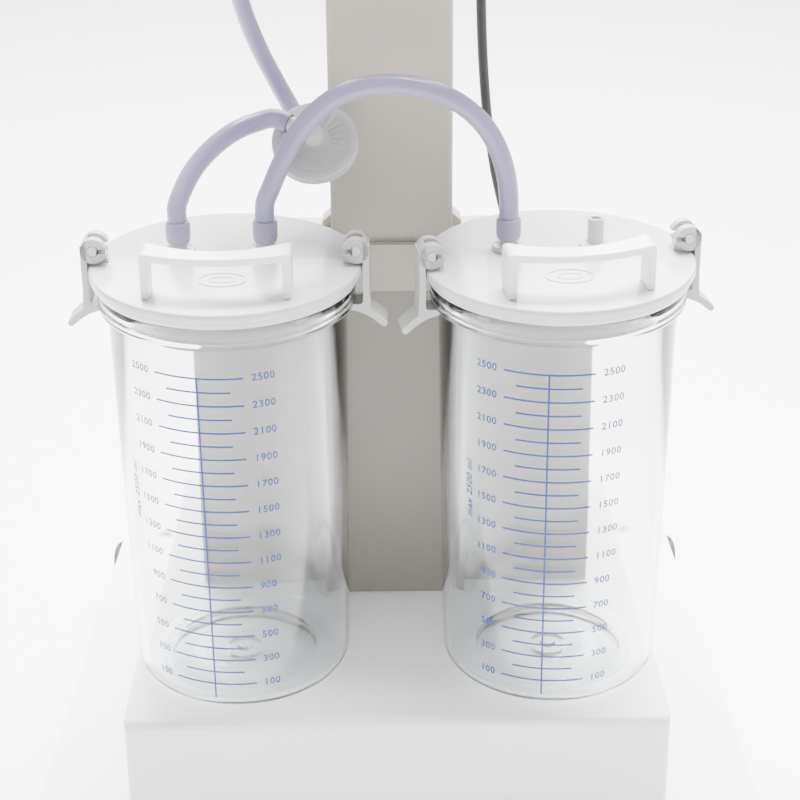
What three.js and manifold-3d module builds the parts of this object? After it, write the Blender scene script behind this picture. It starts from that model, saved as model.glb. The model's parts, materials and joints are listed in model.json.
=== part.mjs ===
// Mobile twin-jar suction pump: a castered base, a pump housing, a column with a control head,
// and two 2500 ml collection jars in series. Millimetres, +Z up, front towards -Y, floor at z = 0,
// origin under the middle of the base.

import * as THREE from 'three';
import { mergeVertices } from 'three/addons/utils/BufferGeometryUtils.js';
import Module from 'manifold-3d';

const wasm = await Module();
wasm.setup();

// ---------------------------------------------------------------- driving dimensions

const GAP = 0.3;                    // clearance between pieces that touch

const TRAY_TOP = 100;               // base tray
const TRAY_THICK = 11.7;
const TRAY_FRONT = { y: -230.5, halfWidth: 222 };
const TRAY_REAR = { y: 154.5, halfWidth: 203.5 };
const SHEET = 2;                    // sheet-metal thickness

const CASTER = { wheelRadius: 36, wheelWidth: 24, offset: 31.5, splay: 25 };
const CASTER_FRONT = { x: 188, y: -185 };
const CASTER_REAR = { x: 186, y: 167.3 };
const BAR_THICK = 4.7;
const BAR_TOP = TRAY_TOP - TRAY_THICK - GAP;

const DECK_TOP = 180;               // jar platform
const DECK_FRONT = { y: -195.5, halfWidth: 158 };
const DECK_REAR = { y: 114.5, halfWidth: 151 };

const JAR = { x: 92, y: -120.5, height: 246, collarRadius: 71.7, collarBottom: 233.5 };
const LID = { radius: 75.5, top: 255.5, thick: 5.2, turn: [-1.5, 9] };
const LATCH = { pinRadius: 72.2, pinZ: 264, knuckle: 7.2, hole: 3.2, pin: 2.9, width: 15 };
const PORT = { left: -27, right: 21.5, y: 13.6, flange: 9.2, nipple: 4.5, height: 15 };

const HOUSING = { halfWidth: 124, front: -40.5, crestRear: -16, rear: 111.5, top: 418, rearTop: 345 };
const SPINE = { halfWidth: 38, front: -54.5 };
const CAP = { halfWidth: 129.7, front: -43.2, rear: -13.5, bottom: 391, top: 420 };
const CAP_NOSE = { halfWidth: 40, front: -60.5 };

const COLUMN = { halfWidth: 35.6, front: -55.5, rear: -15.5 };
const HEAD = { halfWidth: 120, bottom: 680, top: 830, front: -95, rear: 15, wall: 2.5 };
const PANEL_TILT = 24;              // degrees back from vertical
const PANEL_LENGTH = 136;

const HOSE_RADIUS = 5.5;
const VACUUM_HOSE_RADIUS = 5;
const CORD_RADIUS = 3;

// ---------------------------------------------------------------- materials

function finish(color, roughness, metalness = 0, opacity = 1) {
  return new THREE.MeshStandardMaterial({ color, roughness, metalness, opacity, transparent: opacity < 1 });
}

const MATERIAL = {
  whiteSheet: finish(0xf0f1ee, 0.45),
  greySheet: finish(0xbdb8b0, 0.5),
  darkPanel: finish(0x8e8a84, 0.5),
  whitePlastic: finish(0xf3f3f2, 0.3),
  latchPlastic: finish(0xe1e0dd, 0.35),
  clearPlastic: finish(0xdfe6ee, 0.08, 0, 0.3),
  frosted: finish(0xd8d5d3, 0.4, 0, 0.85),
  hose: finish(0xb4adca, 0.25, 0, 0.7),
  rubber: finish(0x1c1c1e, 0.7),
  greyPlastic: finish(0xa9abad, 0.45),
  black: finish(0x1a1a1c, 0.4),
  steel: finish(0xb9bbbe, 0.3, 1),
  castMetal: finish(0x9fa3a8, 0.5, 0.8),
  chrome: finish(0xd8dadd, 0.12, 1),
  dial: finish(0xfafafa, 0.6),
  needle: finish(0xc02020, 0.5),
};

// ---------------------------------------------------------------- geometry helpers

const radians = THREE.MathUtils.degToRad;

// Six times the signed volume inside an indexed geometry.
function signedVolume(position, index) {
  const [a, b, c] = [new THREE.Vector3(), new THREE.Vector3(), new THREE.Vector3()];
  let total = 0;
  for (let i = 0; i < index.count; i += 3) {
    a.fromBufferAttribute(position, index.getX(i));
    b.fromBufferAttribute(position, index.getX(i + 1));
    c.fromBufferAttribute(position, index.getX(i + 2));
    total += a.dot(b.cross(c));
  }
  return total;
}

// Merges shared vertices, drops collapsed triangles and turns the faces outwards.
function closed(geometry) {
  const bare = geometry.clone();
  bare.deleteAttribute('normal');
  bare.deleteAttribute('uv');
  const merged = mergeVertices(bare, 1e-4);
  const flip = signedVolume(merged.attributes.position, merged.index) < 0;
  const kept = [];
  for (let i = 0; i < merged.index.count; i += 3) {
    const [a, b, c] = [0, 1, 2].map((k) => merged.index.getX(i + k));
    if (a !== b && b !== c && c !== a) kept.push(...(flip ? [a, c, b] : [a, b, c]));
  }
  merged.setIndex(kept);
  return merged;
}

function solid(geometry) {
  const whole = closed(geometry);
  return new wasm.Manifold(new wasm.Mesh({
    numProp: 3,
    vertProperties: new Float32Array(whole.attributes.position.array),
    triVerts: new Uint32Array(whole.index.array),
  }));
}

function geometryOf(manifold) {
  const mesh = manifold.getMesh();
  const geometry = new THREE.BufferGeometry();
  geometry.setAttribute('position', new THREE.BufferAttribute(new Float32Array(mesh.vertProperties), 3));
  geometry.setIndex(new THREE.BufferAttribute(new Uint32Array(mesh.triVerts), 1));
  geometry.computeVertexNormals();
  return geometry;
}

const join = (...shapes) => geometryOf(shapes.map(solid).reduce((sum, next) => sum.add(next)));
const cut = (base, ...tools) => (
  geometryOf(tools.map(solid).reduce((rest, tool) => rest.subtract(tool), solid(base)))
);
const common = (a, b) => geometryOf(solid(a).intersect(solid(b)));

// A block between two corners.
function block([x0, y0, z0], [x1, y1, z1]) {
  const box = new THREE.BoxGeometry(x1 - x0, y1 - y0, z1 - z0);
  return box.translate((x0 + x1) / 2, (y0 + y1) / 2, (z0 + z1) / 2);
}

// A profile of [radius, z] points turned about the Z axis.
function turned(profile, segments) {
  const points = profile.map(([r, z]) => new THREE.Vector2(r, z));
  const first = points[0];
  const last = points[points.length - 1];
  if (first.x > 0 || last.x > 0) points.push(first.clone());
  return closed(new THREE.LatheGeometry(points, segments).rotateX(Math.PI / 2));
}

function ring(inner, outer, z0, z1, segments) {
  return turned([[inner, z0], [outer, z0], [outer, z1], [inner, z1]], segments);
}

function disc(radius, z0, z1, segments) {
  return turned([[0, z0], [radius, z0], [radius, z1], [0, z1]], segments);
}

function polygon(points) {
  return new THREE.Shape(points.map(([x, y]) => new THREE.Vector2(x, y)));
}

// A convex polygon with every corner rounded by its own radius: points are [x, y, radius].
function rounded(points) {
  const shape = new THREE.Shape();
  points.forEach(([x, y, radius], i) => {
    const here = new THREE.Vector2(x, y);
    const before = new THREE.Vector2(...points.at(i - 1)).sub(here).setLength(radius).add(here);
    const after = new THREE.Vector2(...points[(i + 1) % points.length]).sub(here).setLength(radius).add(here);
    if (i === 0) shape.moveTo(before.x, before.y);
    else shape.lineTo(before.x, before.y);
    if (radius > 0) shape.quadraticCurveTo(x, y, after.x, after.y);
  });
  shape.closePath();
  return shape;
}

function prism(shape, z0, z1, curveSegments = 4) {
  const geometry = new THREE.ExtrudeGeometry(shape, { depth: z1 - z0, bevelEnabled: false, curveSegments });
  return geometry.translate(0, 0, z0);
}

// A side profile of [y, z] points drawn along X between x0 and x1.
function sideProfile(shape, x0, x1, curveSegments = 4) {
  const geometry = new THREE.ExtrudeGeometry(shape, { depth: x1 - x0, bevelEnabled: false, curveSegments });
  return geometry.rotateZ(Math.PI / 2).rotateY(Math.PI / 2).translate(x0, 0, 0);
}

const alongX = (geometry) => geometry.rotateY(Math.PI / 2);

// A round bar of the given number of sides along a smooth curve through points.
function sweep(points, radius, sides, steps) {
  const curve = new THREE.CatmullRomCurve3(points.map((p) => new THREE.Vector3(...p)), false, 'centripetal');
  const section = new THREE.Shape(Array.from({ length: sides }, (_, i) => {
    const angle = (2 * Math.PI * i) / sides;
    return new THREE.Vector2(radius * Math.cos(angle), radius * Math.sin(angle));
  }));
  return new THREE.ExtrudeGeometry(section, { steps, extrudePath: curve, bevelEnabled: false });
}

const pump = new THREE.Group();

function part(name, geometry, material, parent = pump) {
  const mesh = new THREE.Mesh(closed(geometry), material);
  mesh.name = name;
  parent.add(mesh);
  return mesh;
}

function frameAt(parent, [x, y, z], turnZ = 0) {
  const frame = new THREE.Group();
  frame.position.set(x, y, z);
  frame.rotation.z = radians(turnZ);
  parent.add(frame);
  return frame;
}

// ---------------------------------------------------------------- base tray and caster bars

// The four-cornered outline of a tapered plate, shrunk by an inset.
function taperedOutline(front, rear, inset, frontRadius, rearRadius) {
  return rounded([
    [-front.halfWidth + inset, front.y + inset, frontRadius],
    [front.halfWidth - inset, front.y + inset, frontRadius],
    [rear.halfWidth - inset, rear.y - inset, rearRadius],
    [-rear.halfWidth + inset, rear.y - inset, rearRadius],
  ]);
}

const trayBottom = TRAY_TOP - TRAY_THICK;
part('base_tray', cut(
  prism(taperedOutline(TRAY_FRONT, TRAY_REAR, 0, 22, 5), trayBottom, TRAY_TOP, 5),
  prism(taperedOutline(TRAY_FRONT, TRAY_REAR, SHEET, 20, 4), trayBottom - 1, TRAY_TOP - SHEET, 5),
), MATERIAL.whiteSheet);

// A flat cross bar between two values of Y, with a stem hole and an ear that reaches it at each end.
function casterBar(stem, yNear, yFar) {
  const halfWidth = stem.x + 13;
  const earReach = Math.max(yFar, stem.y + 9);
  const plates = [
    block([-halfWidth, yNear, 0], [halfWidth, yFar, BAR_THICK]),
    block([-halfWidth, yFar - 4, 0], [-halfWidth + 34, earReach, BAR_THICK]),
    block([halfWidth - 34, yFar - 4, 0], [halfWidth, earReach, BAR_THICK]),
  ];
  const holes = [-stem.x, stem.x].map((x) => disc(5.6, -1, BAR_THICK + 1, 16).translate(x, stem.y, 0));
  return cut(join(...plates), ...holes).translate(0, 0, BAR_TOP - BAR_THICK);
}

const BAR_WIDTH = 44;
const frontBar = casterBar(CASTER_FRONT, CASTER_FRONT.y - BAR_WIDTH / 2, CASTER_FRONT.y + BAR_WIDTH / 2);
const rearBar = casterBar(CASTER_REAR, CASTER_REAR.y - 62, CASTER_REAR.y - BAR_WIDTH / 2);
part('caster_bar_front', frontBar, MATERIAL.steel);
part('caster_bar_rear', rearBar, MATERIAL.steel);

// ---------------------------------------------------------------- casters

const axleZ = CASTER.wheelRadius;
const crownTop = BAR_TOP - BAR_THICK - GAP;

// Swivel fork: stem and nut above, race and crown, two cheeks and the axle. The stem is at the origin.
function casterFork() {
  const inner = CASTER.wheelWidth / 2 + 1.2;
  const cheekTop = crownTop - 5;
  const cheek = polygon([
    [-13, cheekTop], [14, cheekTop], [CASTER.offset + 8, axleZ + 4], [CASTER.offset + 5, axleZ - 7],
    [CASTER.offset - 6, axleZ - 7],
  ]);
  const stem = turned([
    [0, crownTop - 6], [17, crownTop - 6], [17, crownTop], [5, crownTop], [5, BAR_TOP + 0.2],
    [7, BAR_TOP + 0.2],
    [7, BAR_TOP + 5], [0, BAR_TOP + 5],
  ], 16);
  return join(
    stem,
    block([-inner - 3, -15, cheekTop - 2.5], [inner + 3, 19, cheekTop + 1]),
    sideProfile(cheek, inner, inner + 3),
    sideProfile(cheek, -inner - 3, -inner),
    alongX(disc(4, -inner - 1, inner + 1, 12)).translate(0, CASTER.offset, axleZ),
  );
}

// Wheel about the X axis with a rounded tread and a bore that runs on the axle.
function casterWheel() {
  const half = CASTER.wheelWidth / 2;
  const rim = CASTER.wheelRadius;
  return alongX(turned([
    [4.3, -half], [11, -half], [13, -half + 4], [rim - 9, -half + 4], [rim - 6, -half + 1],
    [rim - 1.5, -half + 4], [rim, -3], [rim, 3], [rim - 1.5, half - 4], [rim - 6, half - 1],
    [rim - 9, half - 4], [13, half - 4], [11, half], [4.3, half],
  ], 20));
}

// Name, stem and the angle the fork is swung to; the wheel trails behind its stem.
const casters = [
  ['front_left', [-CASTER_FRONT.x, CASTER_FRONT.y, 0], 0],
  ['front_right', [CASTER_FRONT.x, CASTER_FRONT.y, 0], 0],
  ['rear_left', [-CASTER_REAR.x, CASTER_REAR.y, 0], CASTER.splay],
  ['rear_right', [CASTER_REAR.x, CASTER_REAR.y, 0], -CASTER.splay],
];
for (const [corner, stem, swing] of casters) {
  const frame = frameAt(pump, stem, swing);
  part(`caster_fork_${corner}`, casterFork(), MATERIAL.black, frame);
  part(`caster_wheel_${corner}`, casterWheel(), MATERIAL.rubber, frame).position.set(0, CASTER.offset, axleZ);
}

// ---------------------------------------------------------------- pump cabinet and housing

const deckBottom = TRAY_TOP + GAP;
const deckSide = rounded([
  [DECK_FRONT.y, deckBottom, 0], [DECK_REAR.y, deckBottom, 0], [DECK_REAR.y, DECK_TOP, 2],
  [DECK_FRONT.y, DECK_TOP, 7],
]);
part('pump_cabinet', cut(
  common(
    sideProfile(deckSide, -DECK_FRONT.halfWidth, DECK_FRONT.halfWidth, 5),
    prism(taperedOutline(DECK_FRONT, DECK_REAR, 0, 4, 4), deckBottom - 1, DECK_TOP + 1),
  ),
  prism(taperedOutline(DECK_FRONT, DECK_REAR, SHEET, 3, 3), deckBottom - 1, DECK_TOP - 7),
  block(
    [-DECK_REAR.halfWidth + 8, DECK_FRONT.y + 10, DECK_TOP - 8],
    [DECK_REAR.halfWidth - 8, DECK_REAR.y - 6, DECK_TOP - SHEET],
  ),
  block([-110, HOUSING.front + 8, DECK_TOP - 5], [110, HOUSING.rear - 8, DECK_TOP + 1]),
), MATERIAL.whiteSheet);

function housingProfile(inset, bottom) {
  return polygon([
    [HOUSING.front + inset, bottom], [HOUSING.rear - inset, bottom],
    [HOUSING.rear - inset, HOUSING.rearTop - inset], [HOUSING.crestRear - inset, HOUSING.top - inset],
    [HOUSING.front + inset, HOUSING.top - inset],
  ]);
}

const SERVICE_DOOR = { halfWidth: 112, bottom: 200, top: 332 };
const spine = (inset, bottom) => block(
  [-SPINE.halfWidth + inset, SPINE.front + inset, bottom],
  [SPINE.halfWidth - inset, HOUSING.front + 4, HOUSING.top - inset],
);
part('housing_body', cut(
  join(
    sideProfile(housingProfile(0, DECK_TOP + GAP), -HOUSING.halfWidth, HOUSING.halfWidth),
    spine(0, DECK_TOP + GAP),
  ),
  sideProfile(housingProfile(SHEET, DECK_TOP - 1), -HOUSING.halfWidth + SHEET, HOUSING.halfWidth - SHEET),
  spine(SHEET, DECK_TOP - 1),
  block(
    [-SERVICE_DOOR.halfWidth, HOUSING.rear - 5, SERVICE_DOOR.bottom],
    [SERVICE_DOOR.halfWidth, HOUSING.rear + 1, SERVICE_DOOR.top],
  ),
), MATERIAL.darkPanel);

part('housing_cap', cut(
  join(
    block([-CAP.halfWidth, CAP.front, CAP.bottom], [CAP.halfWidth, CAP.rear, CAP.top]),
    block([-CAP_NOSE.halfWidth, CAP_NOSE.front, CAP.bottom], [CAP_NOSE.halfWidth, CAP.front + 5, CAP.top]),
  ),
  block(
    [-HOUSING.halfWidth - GAP, HOUSING.front - GAP, CAP.bottom - 1],
    [HOUSING.halfWidth + GAP, CAP.rear + 1, HOUSING.top + GAP],
  ),
  block(
    [-SPINE.halfWidth - GAP, SPINE.front - GAP, CAP.bottom - 1],
    [SPINE.halfWidth + GAP, HOUSING.front + 1, HOUSING.top + GAP],
  ),
), MATERIAL.greySheet);

const doorVents = Array.from({ length: 7 }, (_, i) => {
  const z = SERVICE_DOOR.bottom + 30 + 12 * i;
  return block([-60, HOUSING.rear - 5, z], [60, HOUSING.rear + 10, z + 5]);
});
part('service_door', cut(
  block([-118, HOUSING.rear + GAP, 192], [118, HOUSING.rear + GAP + 2.5, 340]),
  ...doorVents,
), MATERIAL.whiteSheet);

// ---------------------------------------------------------------- vacuum pump inside the housing

const MOTOR = { x: -30, y: 30, z: 176, radius: 46, halfLength: 60 };
part('pump_motor', join(
  alongX(turned([
    [0, -MOTOR.halfLength - 6], [18, -MOTOR.halfLength - 6], [18, -MOTOR.halfLength],
    [MOTOR.radius - 4, -MOTOR.halfLength], [MOTOR.radius, -MOTOR.halfLength + 6],
    [MOTOR.radius, MOTOR.halfLength], [0, MOTOR.halfLength],
  ], 20)).translate(MOTOR.x, MOTOR.y, MOTOR.z),
  block([MOTOR.x - 50, MOTOR.y - 35, TRAY_TOP + GAP], [MOTOR.x + 50, MOTOR.y + 35, MOTOR.z - 30]),
), MATERIAL.castMetal);

const pumpHeadX = MOTOR.x + MOTOR.halfLength + GAP;
const headFins = Array.from({ length: 4 }, (_, i) => {
  const z = MOTOR.z + 44 + 7 * i;
  return block([pumpHeadX + 4, MOTOR.y - 32, z], [pumpHeadX + 52, MOTOR.y + 32, z + 3]);
});
part('pump_head', join(
  block([pumpHeadX, MOTOR.y - 40, MOTOR.z - 46], [pumpHeadX + 56, MOTOR.y + 40, MOTOR.z + 40]),
  block([pumpHeadX + 10, MOTOR.y - 26, MOTOR.z + 39], [pumpHeadX + 46, MOTOR.y + 26, MOTOR.z + 74]),
  ...headFins,
), MATERIAL.castMetal);

// ---------------------------------------------------------------- column and control head

function columnOutline(inset, radius) {
  const [x, front, rear] = [COLUMN.halfWidth - inset, COLUMN.front + inset, COLUMN.rear - inset];
  return rounded([[-x, front, radius], [x, front, radius], [x, rear, radius], [-x, rear, radius]]);
}

const footZ = CAP.top + GAP;
const gusset = (side) => {
  const [near, far] = [side * (COLUMN.halfWidth - 1), side * (COLUMN.halfWidth + 5.8)];
  const web = polygon([[near, footZ], [far, footZ], [far, footZ + 3], [near, footZ + 9]]);
  return prism(web, 0, 14).rotateX(Math.PI / 2).translate(0, COLUMN.rear, 0);
};
part('column', cut(
  join(prism(columnOutline(0, 3), footZ, HEAD.bottom - GAP), gusset(-1), gusset(1)),
  prism(columnOutline(SHEET, 2), footZ - 1, HEAD.bottom + 1),
), MATERIAL.greySheet);

const panelTop = {
  y: HEAD.front + PANEL_LENGTH * Math.sin(radians(PANEL_TILT)),
  z: HEAD.bottom + 20 + PANEL_LENGTH * Math.cos(radians(PANEL_TILT)),
};
function headProfile(inset) {
  return rounded([
    [HEAD.front + inset, HEAD.bottom + inset, 5], [HEAD.rear + (inset ? 1 : 0), HEAD.bottom + inset, 0],
    [HEAD.rear + (inset ? 1 : 0), HEAD.top - inset, 0], [panelTop.y + inset, HEAD.top - inset, 5],
    [panelTop.y + inset, panelTop.z, 2], [HEAD.front + inset, HEAD.bottom + 20, 5],
  ]);
}
part('head_case', cut(
  sideProfile(headProfile(0), -HEAD.halfWidth, HEAD.halfWidth),
  sideProfile(headProfile(HEAD.wall), -HEAD.halfWidth + HEAD.wall, HEAD.halfWidth - HEAD.wall),
), MATERIAL.whitePlastic);

const backVents = Array.from({ length: 6 }, (_, i) => {
  const z = HEAD.bottom + 40 + 10 * i;
  return block([-40, HEAD.rear - 5, z], [40, HEAD.rear + 10, z + 4]);
});
part('head_back_cover', cut(
  block([-HEAD.halfWidth, HEAD.rear + GAP, HEAD.bottom], [HEAD.halfWidth, HEAD.rear + GAP + 3, HEAD.top]),
  ...backVents,
), MATERIAL.greyPlastic);

// Controls stand on the sloping panel: local +Z is the panel's outward normal, +Y runs up the panel.
const panel = frameAt(pump, [
  0,
  HEAD.front + (PANEL_LENGTH / 2) * Math.sin(radians(PANEL_TILT)),
  HEAD.bottom + 20 + (PANEL_LENGTH / 2) * Math.cos(radians(PANEL_TILT)),
]);
panel.rotation.x = radians(90 - PANEL_TILT);

const gauge = frameAt(panel, [-55, 8, 0]);
part('gauge_case', turned([
  [0, GAP], [34, GAP], [36, 3], [36, 14], [33, 17], [30, 17], [30, 13.4], [29, 13.4], [29, 3], [0, 3],
], 32), MATERIAL.chrome, gauge);
part('gauge_dial', disc(28.5, 3.3, 4.3, 32), MATERIAL.dial, gauge);
part('gauge_lens', disc(29.7, 13.7, 15.3, 32), MATERIAL.clearPlastic, gauge);
const NEEDLE_REST = 225;            // degrees from local +X: the needle rests on the lower left stop
part('gauge_needle', join(
  disc(3, 4.6, 8.6, 12),
  prism(polygon([[-8, -1.6], [23, -0.5], [23, 0.5], [-8, 1.6]]), 5.6, 6.6).rotateZ(radians(NEEDLE_REST)),
), MATERIAL.needle, gauge);

const regulator = frameAt(panel, [52, 22, 0]);
part('regulator_valve', turned([
  [5.6, GAP], [15, GAP], [15, 4], [11, 5], [11, 9], [5.6, 9],
], 16), MATERIAL.chrome, regulator);
function flutedKnob() {
  const outline = new THREE.Shape();
  const flutes = 10;
  for (let i = 0; i < flutes * 2; i += 1) {
    const angle = (Math.PI * i) / flutes;
    const radius = i % 2 ? 16 : 18;
    const [x, y] = [radius * Math.cos(angle), radius * Math.sin(angle)];
    if (i === 0) outline.moveTo(x, y);
    else outline.lineTo(x, y);
  }
  outline.closePath();
  return join(prism(outline, 9.3, 24), disc(5.2, 1, 10, 14), disc(11, 23, 26.5, 16));
}
part('regulator_knob', flutedKnob(), MATERIAL.black, regulator);

const SWITCH = { halfLength: 15, halfWidth: 10.5, rim: 3, high: 9 };
const switchPlace = frameAt(panel, [52, -36, 0]);
part('switch_frame', cut(
  block(
    [-SWITCH.halfLength - SWITCH.rim, -SWITCH.halfWidth - SWITCH.rim, GAP],
    [SWITCH.halfLength + SWITCH.rim, SWITCH.halfWidth + SWITCH.rim, SWITCH.high],
  ),
  block([-SWITCH.halfLength, -SWITCH.halfWidth, -1], [SWITCH.halfLength, SWITCH.halfWidth, SWITCH.high + 1]),
), MATERIAL.black, switchPlace);
const ROCKER = { pivotZ: 5, tilt: 7 };
const rockerFace = polygon([
  [-13.6, -1.5], [0, -3.5], [13.6, -1.5], [13.6, 5.6], [0, 4.2], [-13.6, 5.6],
]);
const rockerSolid = prism(rockerFace, -9.8, 9.8).rotateX(Math.PI / 2);
const rocker = part('switch_rocker', rockerSolid, MATERIAL.black, switchPlace);
rocker.position.z = ROCKER.pivotZ;
rocker.rotation.y = radians(ROCKER.tilt);

part('push_handle', sweep([
  [-98, HEAD.rear + 4 + GAP, 752], [-98, 44, 752], [-98, 76, 776], [-97, 96, 812], [-88, 106, 838],
  [-68, 109, 846], [0, 110, 848], [68, 109, 846], [88, 106, 838], [97, 96, 812], [98, 76, 776], [98, 44, 752],
  [98, HEAD.rear + 4 + GAP, 752],
], 10, 10, 36), MATERIAL.greyPlastic);

const INLET = { x: -93, y: -42.5, length: 18 };
part('vacuum_inlet', turned([
  [2.6, 0], [9, 0], [9, -4], [4.5, -4], [4.5, -INLET.length], [2.6, -INLET.length],
], 14).translate(INLET.x, INLET.y, HEAD.bottom - GAP), MATERIAL.whitePlastic);

const GLAND = { x: 52, y: 2, length: 32 };
part('cord_gland', turned([
  [0, 0], [8, 0], [8, -5], [6, -6], [4, -GLAND.length], [0, -GLAND.length],
], 12).translate(GLAND.x, GLAND.y, HEAD.bottom - GAP), MATERIAL.rubber);

// ---------------------------------------------------------------- jars, lids and what the lids carry

const lidUnder = LID.top - LID.thick;

// A tapered jar with a rounded floor, a thick collar at the mouth and an open top.
function jar() {
  return turned([
    [0, 1.5], [43, 1.5], [46, GAP], [55, GAP], [60.5, 2.4], [63.5, 8.5], [66.8, 231],
    [JAR.collarRadius, JAR.collarBottom], [JAR.collarRadius, JAR.height], [66.4, JAR.height], [64, 234],
    [60.6, 9], [58, 5], [53, 3.6], [0, 3.6],
  ], 32);
}

// Lid plate with a skirt outside the collar's top, a spigot in the jar's mouth, port holes,
// and a lug with a pin for each latch.
function lid(turn) {
  const plate = turned([
    [0, lidUnder], [60, lidUnder], [60, lidUnder - 9], [62.6, lidUnder - 9], [62.6, lidUnder],
    [69.6, lidUnder],
    [69.6, JAR.height + GAP], [73.3, JAR.height + GAP], [73.3, lidUnder], [LID.radius, lidUnder + 0.6],
    [LID.radius, LID.top - 1], [LID.radius - 1, LID.top], [0, LID.top],
  ], 40);
  const lugs = [0, 180].flatMap((side) => {
    const web = polygon([
      [65.2, LID.top - 2], [73, LID.top - 2], [74.5, LATCH.pinZ], [70, LATCH.pinZ + 4.5], [66.2, LATCH.pinZ],
    ]);
    const pin = disc(LATCH.pin, -LATCH.width / 2, LATCH.width / 2, 12).rotateX(Math.PI / 2);
    return [
      prism(web, -2.4, 2.4).rotateX(Math.PI / 2),
      pin.translate(LATCH.pinRadius, 0, LATCH.pinZ),
    ].map((piece) => piece.rotateZ(radians(side + turn)));
  });
  const hole = disc(5, lidUnder - 1, LID.top + 1, 14);
  const holes = [PORT.left, PORT.right].map((x) => hole.clone().translate(x, PORT.y, 0));
  return cut(join(plate, ...lugs), ...holes);
}

// A port: flange on the lid, hose nipple above and, through the lid, a short tube below.
function port(below) {
  const wall = PORT.nipple - 1.6;
  const top = LID.top + GAP;
  return turned([
    [wall, lidUnder - below], [4.7, lidUnder - below], [4.7, top], [PORT.flange, top],
    [PORT.flange - 0.4, top + 3], [PORT.nipple, top + 3.2],
    [PORT.nipple, top + 3 + PORT.height], [wall, top + 3 + PORT.height],
  ], 14);
}

const HANDLE = {
  half: 40, frontEnd: -53.7, frontMid: -62, backEnd: -35.5, backMid: -49.6, high: 25.8, bar: 4.3, post: 4.4,
};

// Handle: a rectangular arch, deeper at its ends than in the middle, bowed towards the lid's rim.
function lidHandle() {
  const plan = new THREE.Shape();
  plan.moveTo(-HANDLE.half, HANDLE.frontEnd);
  plan.quadraticCurveTo(0, 2 * HANDLE.frontMid - HANDLE.frontEnd, HANDLE.half, HANDLE.frontEnd);
  plan.lineTo(HANDLE.half - 1.5, HANDLE.backEnd);
  plan.quadraticCurveTo(0, 2 * HANDLE.backMid - HANDLE.backEnd, -HANDLE.half + 1.5, HANDLE.backEnd);
  plan.closePath();
  const foot = LID.top + GAP;
  const window = HANDLE.half - HANDLE.post;
  const corners = [-1, 1].map((side) => {
    const x = side * (HANDLE.half + 1);
    const inner = side * (HANDLE.half - 3);
    const top = foot + HANDLE.high + 1;
    const trimmed = polygon([[inner, top], [x, top], [x, top - 4]]);
    return prism(trimmed, -80, 80).rotateX(Math.PI / 2);
  });
  return cut(
    prism(plan, foot, foot + HANDLE.high, 8),
    block([-window, -80, foot - 1], [window, 0, foot + HANDLE.high - HANDLE.bar]),
    ...corners,
  );
}

// Latch in its own frame: pin at the origin, x outwards, z up, y along the pin.
function latch() {
  const half = LATCH.width / 2;
  const arm = { inner: 3.8, outer: 7.2 };
  const tail = new THREE.Shape();
  tail.moveTo(-2.4, -31.4);
  tail.quadraticCurveTo(6.5, -31.6, 16.4, -41.4);
  tail.lineTo(13.9, -44.2);
  tail.quadraticCurveTo(6, -36, -2.4, -35);
  tail.closePath();
  const stand = (shape, y0, y1, segments) => prism(shape, y0, y1, segments).rotateX(Math.PI / 2);
  const knuckle = disc(LATCH.knuckle, -half, half, 20).rotateX(Math.PI / 2);
  const hole = disc(LATCH.hole, -half - 1, half + 1, 12).rotateX(Math.PI / 2);
  const web = polygon([[arm.inner, -35], [arm.outer, -37], [arm.outer, 0], [arm.inner, 0]]);
  return cut(
    join(knuckle, stand(web, -half, half), stand(tail, -half, half, 5)),
    hole,
    block([-9, -half - 1, -1], [0, half + 1, 1]),
    block([-9, -2.8, -9], [arm.inner, 2.8, 9]),
  );
}

const CUFF = { radius: 6.85, below: 3.6, length: 12.4 };
const FLOAT = { cageRadius: 12, ballRadius: 8.5, drop: 44, slots: 4 };

// Float cage: a cup with side windows, open at the top, held on the suction port's tube.
function floatCage() {
  const top = lidUnder - 12;
  const bottom = top - FLOAT.drop;
  const cup = turned([
    [0, bottom], [6, bottom], [10.5, bottom + 3], [FLOAT.cageRadius, bottom + 8], [FLOAT.cageRadius, top],
    [5, top], [5, top - 2], [10.2, top - 2], [10.2, bottom + 8], [8.5, bottom + 4],
    [6, bottom + 2], [0, bottom + 2],
  ], 20);
  const windows = Array.from({ length: FLOAT.slots }, (_, i) => (
    block([8, -2.5, bottom + 12], [14, 2.5, top - 8]).rotateZ((2 * Math.PI * (i + 0.5)) / FLOAT.slots)
  ));
  return cut(cup, ...windows);
}

const sides = { left: -1, right: 1 };
const lidTurn = { left: LID.turn[0], right: LID.turn[1] };
for (const [side, sign] of Object.entries(sides)) {
  const frame = frameAt(pump, [sign * JAR.x, JAR.y, DECK_TOP]);
  part(`jar_${side}`, jar(), MATERIAL.clearPlastic, frame);
  part(`lid_gasket_${side}`, ring(64, 69.2, JAR.height + GAP, lidUnder - GAP, 32), MATERIAL.frosted, frame);
  part(`lid_${side}`, lid(lidTurn[side]), MATERIAL.whitePlastic, frame);
  part(`lid_handle_${side}`, lidHandle(), MATERIAL.whitePlastic, frame).rotation.z = radians(lidTurn[side]);
  const latchSides = { left: 180, right: 0 };
  for (const [latchSide, angle] of Object.entries(latchSides)) {
    const where = latchSide === side ? 'outer' : 'inner';
    const turn = angle + lidTurn[side];
    const reach = LATCH.pinRadius;
    const hinge = [reach * Math.cos(radians(turn)), reach * Math.sin(radians(turn)), LATCH.pinZ];
    part(`latch_${side}_${where}`, latch(), MATERIAL.latchPlastic, frameAt(frame, hinge, turn));
  }
}

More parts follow.
